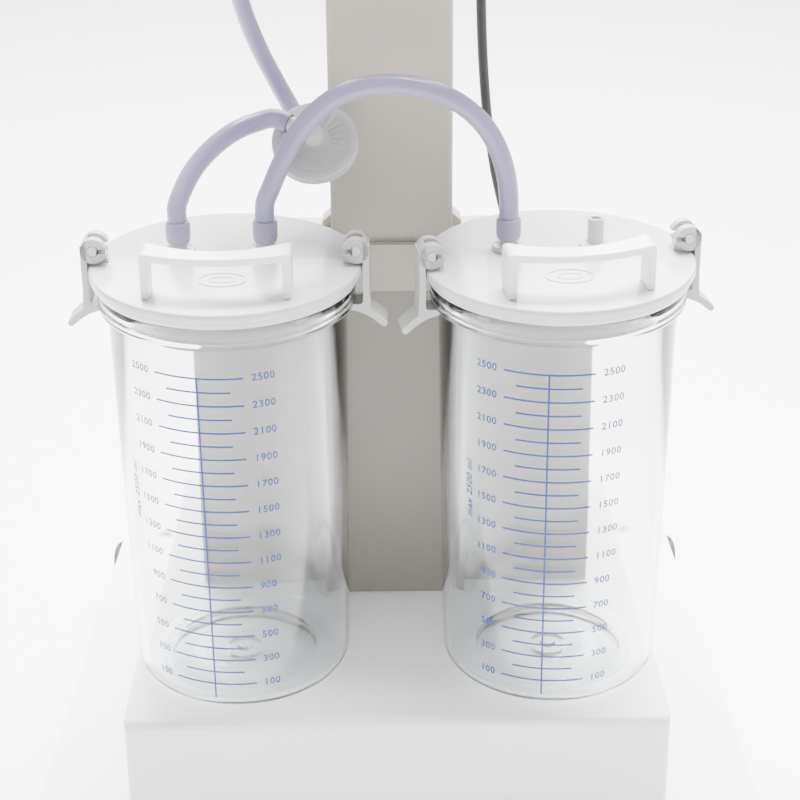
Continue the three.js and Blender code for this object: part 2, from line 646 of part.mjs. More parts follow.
const leftJar = frameAt(pump, [-JAR.x, JAR.y, DECK_TOP]);
const rightJar = frameAt(pump, [JAR.x, JAR.y, DECK_TOP]);
const hosedPorts = [
  ['vacuum_port', leftJar, PORT.left, 16],
  ['link_port_left', leftJar, PORT.right, 24],
  ['link_port_right', rightJar, PORT.left, 12],
];
for (const [name, frame, x, below] of hosedPorts) {
  part(name, port(below), MATERIAL.whitePlastic, frame).position.set(x, PORT.y, 0);
}
part('patient_port', port(24), MATERIAL.whitePlastic, rightJar).position.set(PORT.right, PORT.y, 0);

part('float_cage', floatCage(), MATERIAL.frosted, leftJar).position.set(PORT.left, PORT.y, 0);
const ballZ = lidUnder - 12 - FLOAT.drop + 2.2 + FLOAT.ballRadius + 1.2;
const ball = new THREE.SphereGeometry(FLOAT.ballRadius, 14, 8).rotateX(Math.PI / 2);
part('float_ball', ball, MATERIAL.whitePlastic, leftJar).position.set(PORT.left, PORT.y, ballZ);

// ---------------------------------------------------------------- bacterial filter

// Two dished shells around a membrane, each with an elbow to its hose. The axis leans forwards and up.
const FILTER = { x: -42.4, y: JAR.y + 41, z: DECK_TOP + 309, radius: 24.2, elevation: 46, yaw: -4 };
const ELBOW = { radius: 4.6, bore: 2.6, reach: 15, rise: 8.6 };
const filter = frameAt(pump, [FILTER.x, FILTER.y, FILTER.z], FILTER.yaw);
const filterAxis = new THREE.Group();
filterAxis.rotation.x = radians(90 - FILTER.elevation);
filter.add(filterAxis);

// Shell in its own frame: its face looks along +Z and its elbow along +X.
const shell = cut(
  join(
    turned([
      [0, 3.6], [18.4, 2.6], [18.8, 1.4], [FILTER.radius, 0.9], [FILTER.radius, -2.4], [18, -2.4], [18, 0.4],
      [0, 0.4],
    ], 28),
    disc(ELBOW.radius + 0.6, 2, ELBOW.rise, 14),
    new THREE.SphereGeometry(ELBOW.radius + 0.6, 14, 8).rotateX(Math.PI / 2).translate(0, 0, ELBOW.rise),
    alongX(disc(ELBOW.radius, 0, ELBOW.reach, 14)).translate(0, 0, ELBOW.rise),
  ),
  disc(ELBOW.bore, -1, ELBOW.rise, 10),
  alongX(disc(ELBOW.bore, 0, ELBOW.reach + 1, 10)).translate(0, 0, ELBOW.rise),
);
const frontShell = part('filter_front_shell', shell, MATERIAL.frosted, filterAxis);
frontShell.position.z = 3.4;
frontShell.rotation.z = radians(155);
const rearShell = part('filter_rear_shell', shell, MATERIAL.frosted, filterAxis);
rearShell.position.z = -1.9;
rearShell.rotation.set(Math.PI, 0, radians(240));

// ---------------------------------------------------------------- hoses

// Points are in the frame of the jar platform: x right, y back from the jar axes, z up from the deck.
const onDeck = (points) => points.map(([x, y, z]) => [x, y + JAR.y, z + DECK_TOP]);
const hoseFoot = LID.top + 3 + CUFF.below + CUFF.length + GAP;

const LINK_HOSE = onDeck([
  [-70.5, 13.6, hoseFoot], [-70.1, 13.6, 284], [-66.5, 13.6, 293], [-59.2, 13.6, 309.2], [-49.4, 13.6, 326],
  [-36, 13.6, 340.2], [-21.8, 13.6, 348.2], [-6, 13.6, 351.4], [6, 13.6, 351.2], [21.3, 13.6, 348],
  [37.5, 13.6, 340.2], [50.6, 13.6, 328], [58.8, 13.6, 313.6], [63.2, 13.6, 299], [64.8, 13.6, 287],
  [65, 13.6, hoseFoot],
]);
const VACUUM_HOSE = onDeck([
  [-119, 13.6, hoseFoot], [-119, 13.8, 282], [-115.2, 17.5, 291.5], [-108.8, 24, 301.5], [-98.8, 30.5, 311],
  [-86, 36.8, 318.6], [-75, 40.6, 322], [-66.5, 41.6, 323.9], [-60.6, 40, 323.4], [-56.6, 38.3, 322.1],
]);
const FILTER_HOSE = onDeck([
  [-48.9, 58.4, 310.7], [-51.1, 61.5, 313.6], [-55.4, 66.6, 320], [-60.6, 70.8, 328.4], [-66.8, 74.2, 339.4],
  [-73.4, 76.8, 352.6], [-80.2, 78, 370], [-86, 78, 392], [-90.2, 78, 418], [-92.4, 78, 448],
  [-93, 78, 481.2],
]);

part('link_hose', sweep(LINK_HOSE, HOSE_RADIUS, 10, 26), MATERIAL.hose);
part('vacuum_hose', sweep(VACUUM_HOSE, HOSE_RADIUS, 10, 18), MATERIAL.hose);
part('filter_hose', sweep(FILTER_HOSE, VACUUM_HOSE_RADIUS, 8, 22), MATERIAL.hose);

const cuffProfile = [
  [PORT.nipple + GAP, 0], [5.6, 0], [CUFF.radius, 3], [CUFF.radius, CUFF.length - 1], [6.2, CUFF.length],
  [PORT.nipple + GAP, CUFF.length],
];
const cuffPlaces = [
  ['hose_cuff_vacuum', leftJar, PORT.left], ['hose_cuff_link_left', leftJar, PORT.right],
  ['hose_cuff_link_right', rightJar, PORT.left],
];
for (const [name, frame, x] of cuffPlaces) {
  part(name, turned(cuffProfile, 14), MATERIAL.hose, frame).position.set(x, PORT.y, LID.top + 3 + CUFF.below);
}

// ---------------------------------------------------------------- mains lead, coil and plug

const glandEnd = HEAD.bottom - GAP - GLAND.length - GAP;
const CORD = [
  [52, 2, glandEnd], [52, 2, 620], [53, 2.3, 570], [55, 3, 515], [58, 4.5, 478], [62.5, 8, 446],
  [67, 15.5, 423], [71, 29, 405], [75, 48, 389], [79, 74, 371.5], [82, 96, 358],
  [83.5, 110, 349.9], [84, 115.6, 345.6], [84.4, 119.9, 340], [84.7, 122.6, 333.5],
  [85, 123.5, 325], [85.3, 123.5, 314], [85.7, 123.5, 296], [86.4, 123.5, 262], [88, 123.5, 210],
  [89.8, 123.5, 168], [90.6, 123.5, 146], [91, 123.6, 132], [91.2, 125.6, 120.4],
  [91.4, 131.4, 111.6], [91.6, 140.2, 105.8], [91.7, 150.5, 104.2], [91.8, 160.9, 102.2],
  [91.9, 169.9, 96.2], [91.9, 175.4, 87.1], [91.9, 177.4, 77], [91.9, 177.6, 65],
  [91.9, 177.6, 47], [91.9, 177.6, 33], [91.1, 178.4, 22.6], [88, 181.5, 13.6], [82.6, 186.9, 7],
];
part('power_cord', sweep(CORD, CORD_RADIUS, 8, 64), MATERIAL.rubber);

const COIL = { x: 28, y: 182, inner: 21, outer: 45, high: 18 };
part('power_cord_coil', turned([
  [COIL.inner, 2], [COIL.inner + 2, GAP], [COIL.outer - 2, GAP], [COIL.outer, 2], [COIL.outer, COIL.high - 2],
  [COIL.outer - 2, COIL.high], [COIL.inner + 2, COIL.high], [COIL.inner, COIL.high - 2],
], 24).translate(COIL.x, COIL.y, 0), MATERIAL.rubber);

// A two-pin mains plug lying on its side: body, strain relief and pins in one piece.
const PLUG = { x: -51.4, y: 182, z: 14 };
part('power_plug', join(
  alongX(turned([[0, -22], [9, -22], [13, -16], [13, 10], [9, 16], [4, 34], [0, 34]], 16)).scale(1, 1.25, 1),
  alongX(disc(2.4, -40, -20, 10)).translate(0, -9.5, 0),
  alongX(disc(2.4, -40, -20, 10)).translate(0, 9.5, 0),
).translate(PLUG.x, PLUG.y, PLUG.z), MATERIAL.rubber);

export default pump;
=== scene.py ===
"""Visual model of a mobile suction pump, built around its CAD frame."""

import json
import math
from math import cos, pi, radians, sin

import bmesh
import bpy
from mathutils import Matrix, Vector


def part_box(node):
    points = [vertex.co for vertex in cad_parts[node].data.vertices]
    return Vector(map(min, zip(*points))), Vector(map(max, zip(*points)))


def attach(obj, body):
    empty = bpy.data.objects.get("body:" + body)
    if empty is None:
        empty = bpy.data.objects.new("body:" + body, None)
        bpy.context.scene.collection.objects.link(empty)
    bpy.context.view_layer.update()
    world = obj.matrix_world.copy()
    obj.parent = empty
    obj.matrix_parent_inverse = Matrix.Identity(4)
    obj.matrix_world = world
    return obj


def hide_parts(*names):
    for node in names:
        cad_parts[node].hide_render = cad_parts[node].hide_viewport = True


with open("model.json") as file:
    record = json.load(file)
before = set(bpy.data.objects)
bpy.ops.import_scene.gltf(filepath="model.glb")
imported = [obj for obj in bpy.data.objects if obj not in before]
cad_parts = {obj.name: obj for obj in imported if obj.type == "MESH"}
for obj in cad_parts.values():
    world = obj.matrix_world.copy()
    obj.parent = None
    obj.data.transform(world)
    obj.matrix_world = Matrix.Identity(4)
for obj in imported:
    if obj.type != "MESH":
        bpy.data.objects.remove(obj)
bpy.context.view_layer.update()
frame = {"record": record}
MM = 0.001
FIXED = "pump_stand"                    # the body that everything rides on unless it moves
JOINTS = {j["name"]: j for j in frame["record"]["behaviour"]["joints"]}


def box_mm(node):
    low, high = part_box(node)
    return Vector(low) / MM, Vector(high) / MM


def centre_mm(node):
    low, high = box_mm(node)
    return (low + high) / 2


DECK = box_mm("pump_cabinet")[1].z      # top of the jar platform
JAR = {side: centre_mm(f"jar_{side}").to_2d() for side in ("left", "right")}
JAR_Y = JAR["left"].y
LID_TURN = {"left": -1.5, "right": 9.0}

# ---------------------------------------------------------------- geometry helpers, in millimetres


def lathe(profile, segments=64):
    """A profile of (radius, z) turned about Z; it closes on itself unless it ends on the axis."""
    on_axis = profile[0][0] == 0 or profile[-1][0] == 0
    verts, rings = [], []
    for r, z in profile:
        if r == 0:
            rings.append([len(verts)] * segments)
            verts.append((0, 0, z))
        else:
            rings.append(range(len(verts), len(verts) + segments))
            verts += [(r * cos(2 * pi * i / segments), r * sin(2 * pi * i / segments), z)
                      for i in range(segments)]
    pairs = list(zip(rings, rings[1:]))
    if not on_axis:
        pairs.append((rings[-1], rings[0]))
    faces = []
    for a, b in pairs:
        for i in range(segments):
            j = (i + 1) % segments
            corner = dict.fromkeys((a[i], a[j], b[j], b[i]))
            if len(corner) > 2:
                faces.append(tuple(corner))
    return verts, faces


def extruded(outline, y0, y1):
    """A closed outline of (x, z) points drawn along Y."""
    n = len(outline)
    verts = [(x, y, z) for y in (y0, y1) for x, z in outline]
    faces = [tuple(range(n)), tuple(range(2 * n - 1, n - 1, -1))]
    faces += [(i, i + n, (i + 1) % n + n, (i + 1) % n) for i in range(n)]
    return verts, faces


def block(low, high):
    (x0, y0, z0), (x1, y1, z1) = low, high
    return extruded([(x0, z0), (x1, z0), (x1, z1), (x0, z1)], y0, y1)


def catmull(points, spacing):
    """Points about every spacing along the centripetal curve through the given points."""
    p = [Vector(q) for q in points]
    p = [2 * p[0] - p[1], *p, 2 * p[-1] - p[-2]]
    out = []
    for a, b, c, d in zip(p, p[1:], p[2:], p[3:]):
        t = [0.0]
        for u, v in ((a, b), (b, c), (c, d)):
            t.append(t[-1] + math.sqrt((v - u).length))
        steps = max(1, round((c - b).length / spacing))
        for k in range(steps):
            s = t[1] + (t[2] - t[1]) * k / steps
            ab = a.lerp(b, (s - t[0]) / (t[1] - t[0]))
            bc = b.lerp(c, (s - t[1]) / (t[2] - t[1]))
            cd = c.lerp(d, (s - t[2]) / (t[3] - t[2]))
            abc = ab.lerp(bc, (s - t[0]) / (t[2] - t[0]))
            bcd = bc.lerp(cd, (s - t[1]) / (t[3] - t[1]))
            out.append(abc.lerp(bcd, (s - t[1]) / (t[2] - t[1])))
    return out + [p[-2]]


def swept(path, sections):
    """Rings carried along a path: sections(i) gives the (across, up) points of ring i."""
    path = [Vector(q) for q in path]
    tangents = [(b - a).normalized() for a, b in zip([path[0], *path[:-1]], [*path[1:], path[-1]])]
    side = tangents[0].orthogonal().normalized()
    verts, count = [], len(sections(0))
    for i, (here, along) in enumerate(zip(path, tangents)):
        side = (side - along * side.dot(along)).normalized()
        up = along.cross(side)
        verts += [tuple(here + side * x + up * y) for x, y in sections(i)]
    faces = []
    for i in range(len(path) - 1):
        for k in range(count):
            m = (k + 1) % count
            faces.append((i * count + k, i * count + m, (i + 1) * count + m, (i + 1) * count + k))
    return verts, faces, count


def circle(radius, sides):
    return [(radius * cos(2 * pi * k / sides), radius * sin(2 * pi * k / sides)) for k in range(sides)]


def tube(path, radius, sides=24, bore=0.0, ends=None):
    """A round bar or, with a bore, a pipe; ends scales the radius of single rings."""
    scale = ends or {}
    last = len(path) - 1

    def ring(i, r):
        return circle(r * scale.get(i, scale.get(i - last - 1, 1.0)), sides)

    verts, faces, n = swept(path, lambda i: ring(i, radius))
    if not bore:
        faces += [tuple(range(n - 1, -1, -1)), tuple(range(last * n, last * n + n))]
        return verts, faces
    inner, inner_faces, _ = swept(path, lambda i: ring(i, bore))
    shift = len(verts)
    faces += [tuple(shift + k for k in reversed(f)) for f in inner_faces]
    for base, flip in ((0, False), (last * n, True)):
        for k in range(n):
            m = (k + 1) % n
            quad = (base + k, base + m, shift + base + m, shift + base + k)
            faces.append(quad[::-1] if not flip else quad)
    return verts + inner, faces


def arc(cx, cz, r, a0, a1, steps):
    return [(cx + r * cos(radians(a0 + (a1 - a0) * k / steps)),
             cz + r * sin(radians(a0 + (a1 - a0) * k / steps)))
            for k in range(steps + 1)]


def quadratic(a, b, c, steps):
    out = []
    for k in range(steps + 1):
        t = k / steps
        out.append(tuple((1 - t) ** 2 * p + 2 * t * (1 - t) * q + t * t * r for p, q, r in zip(a, b, c)))
    return out


def at(x=0.0, y=0.0, z=0.0, turn=0.0):
    return Matrix.Translation((x, y, z)) @ Matrix.Rotation(radians(turn), 4, "Z")


ALONG_X = Matrix.Rotation(pi / 2, 4, "Y")
ALONG_Y = Matrix.Rotation(-pi / 2, 4, "X")


def piece(name, shapes, finish, body=FIXED, bevel=0.0, sharp=38, replaces=(), place=Matrix()):
    """One object from shapes, each (verts, faces) or (verts, faces, matrix), in millimetres."""
    verts, faces = [], []
    for shape in shapes:
        points, polygons = shape[:2]
        matrix = place @ (shape[2] if len(shape) > 2 else Matrix())
        start = len(verts)
        verts += [matrix @ Vector(p) * MM for p in points]
        faces += [tuple(start + k for k in f) for f in polygons]
    mesh = bpy.data.meshes.new(name)
    mesh.from_pydata(verts, [], faces)
    bm = bmesh.new()
    bm.from_mesh(mesh)
    bmesh.ops.recalc_face_normals(bm, faces=bm.faces)
    bm.to_mesh(mesh)
    bm.free()
    mesh.shade_smooth()
    mesh.set_sharp_from_angle(angle=radians(sharp))
    mesh.materials.append(finish)
    obj = bpy.data.objects.new(name, mesh)
    bpy.context.scene.collection.objects.link(obj)
    if bevel:
        rounded_edges(obj, bevel)
    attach(obj, body)
    if replaces:
        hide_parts(*replaces)
    return obj


def rounded_edges(obj, width, segments=3, angle=38):
    mod = obj.modifiers.new("rounded_edges", "BEVEL")
    mod.width = width * MM
    mod.segments = segments
    mod.limit_method = "ANGLE"
    mod.angle_limit = radians(angle)
    mod.harden_normals = True
    mod.use_clamp_overlap = True


# ---------------------------------------------------------------- materials


def material(name, color, rough, metal=0.0, coat=0.0, grain=900, bump=0.1, spread=0.04, glass=0.0, ior=1.5,
             milky=0.0, streak=1.0):
    """A procedural finish: fine grain in the normal, a slow drift in colour and roughness."""
    mat = bpy.data.materials.new(name)
    mat.use_nodes = True
    nodes, links = mat.node_tree.nodes, mat.node_tree.links
    shader = nodes["Principled BSDF"]
    coords = nodes.new("ShaderNodeTexCoord")
    stretch = nodes.new("ShaderNodeMapping")
    stretch.inputs["Scale"].default_value = (1, 1, streak)
    links.new(coords.outputs["Object"], stretch.inputs["Vector"])
    fine = nodes.new("ShaderNodeTexNoise")
    fine.inputs["Scale"].default_value = grain
    fine.inputs["Detail"].default_value = 3
    slow = nodes.new("ShaderNodeTexNoise")
    slow.inputs["Scale"].default_value = 14
    slow.inputs["Detail"].default_value = 4
    for noise in (fine, slow):
        links.new(stretch.outputs["Vector"], noise.inputs["Vector"])
    tint = nodes.new("ShaderNodeMix")
    tint.data_type = "RGBA"
    tint.inputs[6].default_value = (*[max(0, c * (1 - spread)) for c in color], 1)
    tint.inputs[7].default_value = (*[min(1, c * (1 + spread)) for c in color], 1)
    links.new(slow.outputs["Fac"], tint.inputs[0])
    links.new(tint.outputs[2], shader.inputs["Base Color"])
    gloss = nodes.new("ShaderNodeMapRange")
    gloss.inputs["To Min"].default_value = max(0.0, rough - 0.04)
    gloss.inputs["To Max"].default_value = min(1.0, rough + 0.06)
    links.new(slow.outputs["Fac"], gloss.inputs["Value"])
    links.new(gloss.outputs["Result"], shader.inputs["Roughness"])
    relief = nodes.new("ShaderNodeBump")
    relief.inputs["Strength"].default_value = bump
    relief.inputs["Distance"].default_value = 0.0002
    links.new(fine.outputs["Fac"], relief.inputs["Height"])
    links.new(relief.outputs["Normal"], shader.inputs["Normal"])
    shader.inputs["Metallic"].default_value = metal
    shader.inputs["Coat Weight"].default_value = coat
    shader.inputs["Coat Roughness"].default_value = 0.08
    shader.inputs["IOR"].default_value = ior
    shader.inputs["Transmission Weight"].default_value = glass
    if milky:
        shader.inputs["Subsurface Weight"].default_value = milky
        shader.inputs["Subsurface Radius"].default_value = (0.004, 0.004, 0.005)
        shader.inputs["Subsurface Scale"].default_value = 1.0
    if glass > 0.5:
        let_light_through(mat, shader, color)
    return mat


def let_light_through(mat, shader, color):
    """Lamps shine through the piece: shadow rays meet a clear sheet."""
    nodes, links = mat.node_tree.nodes, mat.node_tree.links
    clear = nodes.new("ShaderNodeBsdfTransparent")
    clear.inputs["Color"].default_value = (*[0.4 + 0.55 * c for c in color], 1)
    path = nodes.new("ShaderNodeLightPath")
    mix = nodes.new("ShaderNodeMixShader")
    links.new(path.outputs["Is Shadow Ray"], mix.inputs["Fac"])
    links.new(shader.outputs["BSDF"], mix.inputs[1])
    links.new(clear.outputs["BSDF"], mix.inputs[2])
    links.new(mix.outputs["Shader"], nodes["Material Output"].inputs["Surface"])


WHITE_COAT = material("white_powder_coat", (0.86, 0.865, 0.85), 0.42, grain=700, bump=0.25)
GREY_COAT = material("grey_powder_coat", (0.44, 0.40, 0.34), 0.5, grain=700, bump=0.3)
# the grey powder coat darkened for the housing body: painted shade for the recess under the cap
GREY_COAT_PAINTED_SHADE = material("grey_coat_with_painted_shade", (0.25, 0.23, 0.195), 0.5, grain=700, bump=0.3)
ZINC = material("zinc_plate", (0.62, 0.63, 0.65), 0.32, metal=1.0, grain=300, bump=0.15, spread=0.12)
CASTING = material("cast_aluminium", (0.52, 0.54, 0.56), 0.5, metal=0.9, grain=500, bump=0.6, spread=0.1)
CHROME = material("bright_chrome", (0.80, 0.81, 0.83), 0.09, metal=1.0, grain=200, bump=0.02)
BRASS = material("plated_brass", (0.72, 0.66, 0.50), 0.22, metal=1.0, grain=300, bump=0.05)
HEAD_PLASTIC = material("head_plastic", (0.84, 0.84, 0.83), 0.42, grain=1400, bump=0.35)
GREY_PLASTIC = material("grey_plastic", (0.30, 0.32, 0.34), 0.45, grain=1400, bump=0.35)
BLACK_PLASTIC = material("black_plastic", (0.022, 0.022, 0.024), 0.38, grain=1400, bump=0.3, spread=0.15)
LID_PLASTIC = material("lid_plastic", (0.54, 0.55, 0.565), 0.22, coat=0.25, grain=500, bump=0.04, spread=0.02,
                       milky=0.15)
HANDLE_PLASTIC = material("handle_plastic", (0.86, 0.86, 0.855), 0.24, coat=0.25, grain=500, bump=0.04,
                          spread=0.02, milky=0.15)
LATCH_PLASTIC = material("latch_plastic", (0.45, 0.445, 0.43), 0.3, grain=600, bump=0.06, spread=0.02,
                         milky=0.15)
CLEAR = material("clear_polycarbonate", (0.93, 0.94, 0.955), 0.03, grain=60, bump=0.05, spread=0.008,
                 glass=1.0, ior=1.47)
LENS = material("clear_lens", (0.97, 0.975, 0.98), 0.02, grain=60, bump=0.01, spread=0.005, glass=1.0,
                ior=1.45)
FROSTED = material("translucent_plastic", (0.66, 0.655, 0.65), 0.3, grain=700, bump=0.06, spread=0.02,
                   glass=0.25, milky=0.4)
CAGE = material("float_plastic", (0.27, 0.255, 0.23), 0.35, grain=700, bump=0.06, spread=0.03, glass=0.2)
GASKET = material("silicone_gasket", (0.30, 0.295, 0.29), 0.5, grain=900, bump=0.1)
HOSE = material("violet_silicone", (0.46, 0.43, 0.61), 0.2, grain=120, bump=0.06, spread=0.03, glass=0.5,
                ior=1.42)
CUFF_SILICONE = material("violet_cuff", (0.42, 0.39, 0.55), 0.25, grain=160, bump=0.05, spread=0.03,
                         glass=0.35, milky=0.3)
RUBBER = material("black_rubber", (0.018, 0.018, 0.02), 0.55, grain=1200, bump=0.3, spread=0.2)
TYRE = material("tyre_rubber", (0.014, 0.014, 0.016), 0.62, grain=900, bump=0.5, spread=0.25)
# light-grey hub plastic; its blue tint is a painted reflection
HUB_PAINTED_REFLECTION = material("hub_plastic_painted_blue_reflection", (0.36, 0.50, 0.66), 0.4, grain=1000, bump=0.15)
INK = material("blue_ink", (0.002, 0.03, 0.20), 0.45, grain=1500, bump=0.05, spread=0.1)
BLACK_INK = material("black_ink", (0.02, 0.02, 0.02), 0.5, grain=1500, bump=0.05, spread=0.1)
DIAL = material("dial_paint", (0.86, 0.86, 0.85), 0.6, grain=1500, bump=0.08, spread=0.01)
RED = material("red_enamel", (0.55, 0.02, 0.02), 0.35, grain=1500, bump=0.05)
FLOOR = material("pale_floor", (0.93, 0.93, 0.93), 0.6, grain=120, bump=0.05, spread=0.01)

# ---------------------------------------------------------------- camera and light

CAMERA = {"place": (-0.001386, -1.1379, 0.84869), "yaw": 0.0027, "pitch": 0.4516, "roll": 0.00987}


def make_camera():
    data = bpy.data.cameras.new("camera")
    data.sensor_width = 36
    data.lens = 89.15
    data.shift_x, data.shift_y = 0.005, -0.0127
    data.clip_start, data.clip_end = 0.02, 50
    yaw, pitch, roll = CAMERA["yaw"], CAMERA["pitch"], CAMERA["roll"]
    forward = Vector((sin(yaw) * cos(pitch), cos(yaw) * cos(pitch), -sin(pitch)))
    right = Vector((cos(yaw), -sin(yaw), 0))
    down = forward.cross(right)
    across = right * cos(roll) + down * sin(roll)
    below = down * cos(roll) - right * sin(roll)
    obj = bpy.data.objects.new("camera", data)
    turn = Matrix((across, -below, -forward)).transposed().to_4x4()
    obj.matrix_world = Matrix.Translation(CAMERA["place"]) @ turn
    bpy.context.scene.collection.objects.link(obj)
    bpy.context.scene.camera = obj


def area_light(name, place, target, size, watts, color=(1, 1, 1)):
    data = bpy.data.lights.new(name, "AREA")
    data.shape = "RECTANGLE"
    data.size, data.size_y = size
    data.energy = watts
    data.color = color
    obj = bpy.data.objects.new(name, data)
    obj.location = place
    obj.rotation_euler = (Vector(target) - Vector(place)).to_track_quat("-Z", "Y").to_euler()
    bpy.context.scene.collection.objects.link(obj)


def make_studio():
    world = bpy.data.worlds.new("studio")
    world.use_nodes = True
    nodes, links = world.node_tree.nodes, world.node_tree.links
    background = nodes["Background"]
    coords = nodes.new("ShaderNodeTexCoord")
    split = nodes.new("ShaderNodeSeparateXYZ")
    ramp = nodes.new("ShaderNodeValToRGB")
    ramp.color_ramp.elements[0].position = 0.05
    ramp.color_ramp.elements[0].color = (0.42, 0.45, 0.52, 1)
    ramp.color_ramp.elements[1].position = 0.75
    ramp.color_ramp.elements[1].color = (1, 1, 1, 1)
    links.new(coords.outputs["Generated"], split.inputs[0])
    links.new(split.outputs["Z"], ramp.inputs["Fac"])
    links.new(ramp.outputs["Color"], background.inputs["Color"])
    background.inputs["Strength"].default_value = 0.85
    bpy.context.scene.world = world
    area_light("key", (0.1, 0.45, 2.2), (0, -0.1, 0.3), (1.4, 1.0), 460)
    area_light("front", (-0.6, -2.4, 1.9), (0, 0, 0.4), (2.0, 1.2), 15)
    area_light("strip_left", (-1.4, -0.7, 0.8), (0, -0.1, 0.35), (0.35, 1.5), 7)
    area_light("strip_right", (1.4, -0.7, 0.8), (0, -0.1, 0.35), (0.35, 1.5), 7)
    area_light("rear", (0.0, 2.4, 2.2), (0, 0, 0.4), (2.4, 1.5), 170)
    bm = bmesh.new()
    bmesh.ops.create_grid(bm, x_segments=24, y_segments=24, size=6)
    mesh = bpy.data.meshes.new("studio_floor")
    bm.to_mesh(mesh)
    bm.free()
    mesh.materials.append(FLOOR)
    floor = bpy.data.objects.new("studio_floor", mesh)
    bpy.context.scene.collection.objects.link(floor)


make_camera()
make_studio()

# ---------------------------------------------------------------- hoses, lead, coil and plug

CUFF = {"radius": 6.85, "foot": 262.1, "length": 12.4}
HOSE_FOOT = CUFF["foot"] + CUFF["length"] + 0.3


def on_deck(points):
    return [(x, y + JAR_Y, z + DECK) for x, y, z in points]


HOSES = {
    "link_hose": (5.5, 3.7, on_deck([
        (-70.5, 13.6, HOSE_FOOT), (-70.1, 13.6, 284), (-66.5, 13.6, 293), (-59.2, 13.6, 309.2),
        (-49.4, 13.6, 326), (-36, 13.6, 340.2), (-21.8, 13.6, 348.2), (-6, 13.6, 351.4), (6, 13.6, 351.2),
        (21.3, 13.6, 348), (37.5, 13.6, 340.2), (50.6, 13.6, 328), (58.8, 13.6, 313.6), (63.2, 13.6, 299),
        (64.8, 13.6, 287), (65, 13.6, HOSE_FOOT),
    ])),
    "vacuum_hose": (5.5, 3.7, on_deck([
        (-119, 13.6, HOSE_FOOT), (-119, 13.8, 282), (-115.2, 17.5, 291.5), (-108.8, 24, 301.5),
        (-98.8, 30.5, 311), (-86, 36.8, 318.6), (-75, 40.6, 322), (-66.5, 41.6, 323.9), (-60.6, 40, 323.4),
        (-56.6, 38.3, 322.1),
    ])),
    "filter_hose": (5.0, 3.3, on_deck([
        (-48.9, 58.4, 310.7), (-51.1, 61.5, 313.6), (-55.4, 66.6, 320), (-60.6, 70.8, 328.4),
        (-66.8, 74.2, 339.4), (-73.4, 76.8, 352.6), (-80.2, 78, 370), (-86, 78, 392), (-90.2, 78, 418),
        (-92.4, 78, 448), (-93, 78, 481.2),
    ])),
}


for hose, (radius, bore, route) in HOSES.items():
    line = catmull(route, 2.5)
    made = piece(hose.replace("hose", "tube"), [tube(line, radius, 32, bore)], HOSE, replaces=[hose])

CORD_RADIUS = 3.0
CORD = [
    (52, 2, 647.1), (52, 2, 620), (53, 2.3, 570), (55, 3, 515), (58, 4.5, 478), (62.5, 8, 446),
    (67, 15.5, 423), (71, 29, 405), (75, 48, 389), (79, 74, 371.5), (82, 96, 358), (83.5, 110, 349.9),
    (84, 115.6, 345.6), (84.4, 119.9, 340), (84.7, 122.6, 333.5), (85, 123.5, 325), (85.3, 123.5, 314),
    (85.7, 123.5, 296), (86.4, 123.5, 262), (88, 123.5, 210), (89.8, 123.5, 168), (90.6, 123.5, 146),
    (91, 123.6, 132), (91.2, 125.6, 120.4), (91.4, 131.4, 111.6), (91.6, 140.2, 105.8),
    (91.7, 150.5, 104.2), (91.8, 160.9, 102.2), (91.9, 169.9, 96.2), (91.9, 175.4, 87.1),
    (91.9, 177.4, 77), (91.9, 177.6, 65), (91.9, 177.6, 47), (91.9, 177.6, 33), (91.1, 178.4, 22.6),
    (88, 181.5, 13.6), (82.6, 186.9, 7), (75.5, 193.9, 3.9), (67, 202.4, 3.3),
]
COIL = centre_mm("power_cord_coil").to_2d()
PLUG_LOW, PLUG_HIGH = box_mm("power_plug")
PLUG_Z = (PLUG_LOW.z + PLUG_HIGH.z) / 2


COIL_INNER, COIL_OUTER = 24.0, 42.2     # centreline radii: turns one diameter apart
COIL_TURNS, COIL_START = 3, 45.0        # turns in each layer, and the angle where the lead runs in
LOWER, UPPER = 3.3, 9.2                 # centreline heights of the two layers


def coil_line(step=15, climb=90):
    """The lower layer winds inwards and the upper one back out to the rim."""
    sweep = 360 * COIL_TURNS
    spread = COIL_OUTER - COIL_INNER
    spiral = [(turned, COIL_OUTER - spread * turned / sweep, LOWER) for turned in range(0, sweep, step)]
    for turned in range(0, sweep, step):
        share = min(1.0, turned / climb)
        height = LOWER + (UPPER - LOWER) * share * share * (3 - 2 * share)
        outward = max(0, turned - climb) / (sweep - climb)
        spiral.append((sweep + turned, COIL_INNER + spread * outward, height))
    spiral += [(2 * sweep + step * k, COIL_OUTER, UPPER + lift) for k, lift in enumerate((0.3, 1.4, 3.2))]
    points = []
    for turned, r, z in spiral:
        angle = radians(COIL_START + turned)
        points.append((COIL.x + r * cos(angle), COIL.y + r * sin(angle), z))
    return points


def over_to_plug(start, end, heights):
    """Two equal arcs across the top of the coil, from its rim to the plug's axis, both ends along X."""
    run, drop = start.x - end.x, start.y - end.y
    radius = (run * run + drop * drop) / (4 * drop)
    half = math.asin(run / 2 / radius)
    first = [(start.x - radius * sin(half * f), start.y - radius * (1 - cos(half * f)))
             for f in (0.3, 0.65, 1)]
    second = [(end.x + radius * sin(half * f), end.y + radius * (1 - cos(half * f))) for f in (0.65, 0.3, 0)]
    return [(x, y, z) for (x, y), z in zip(first + second, heights)]


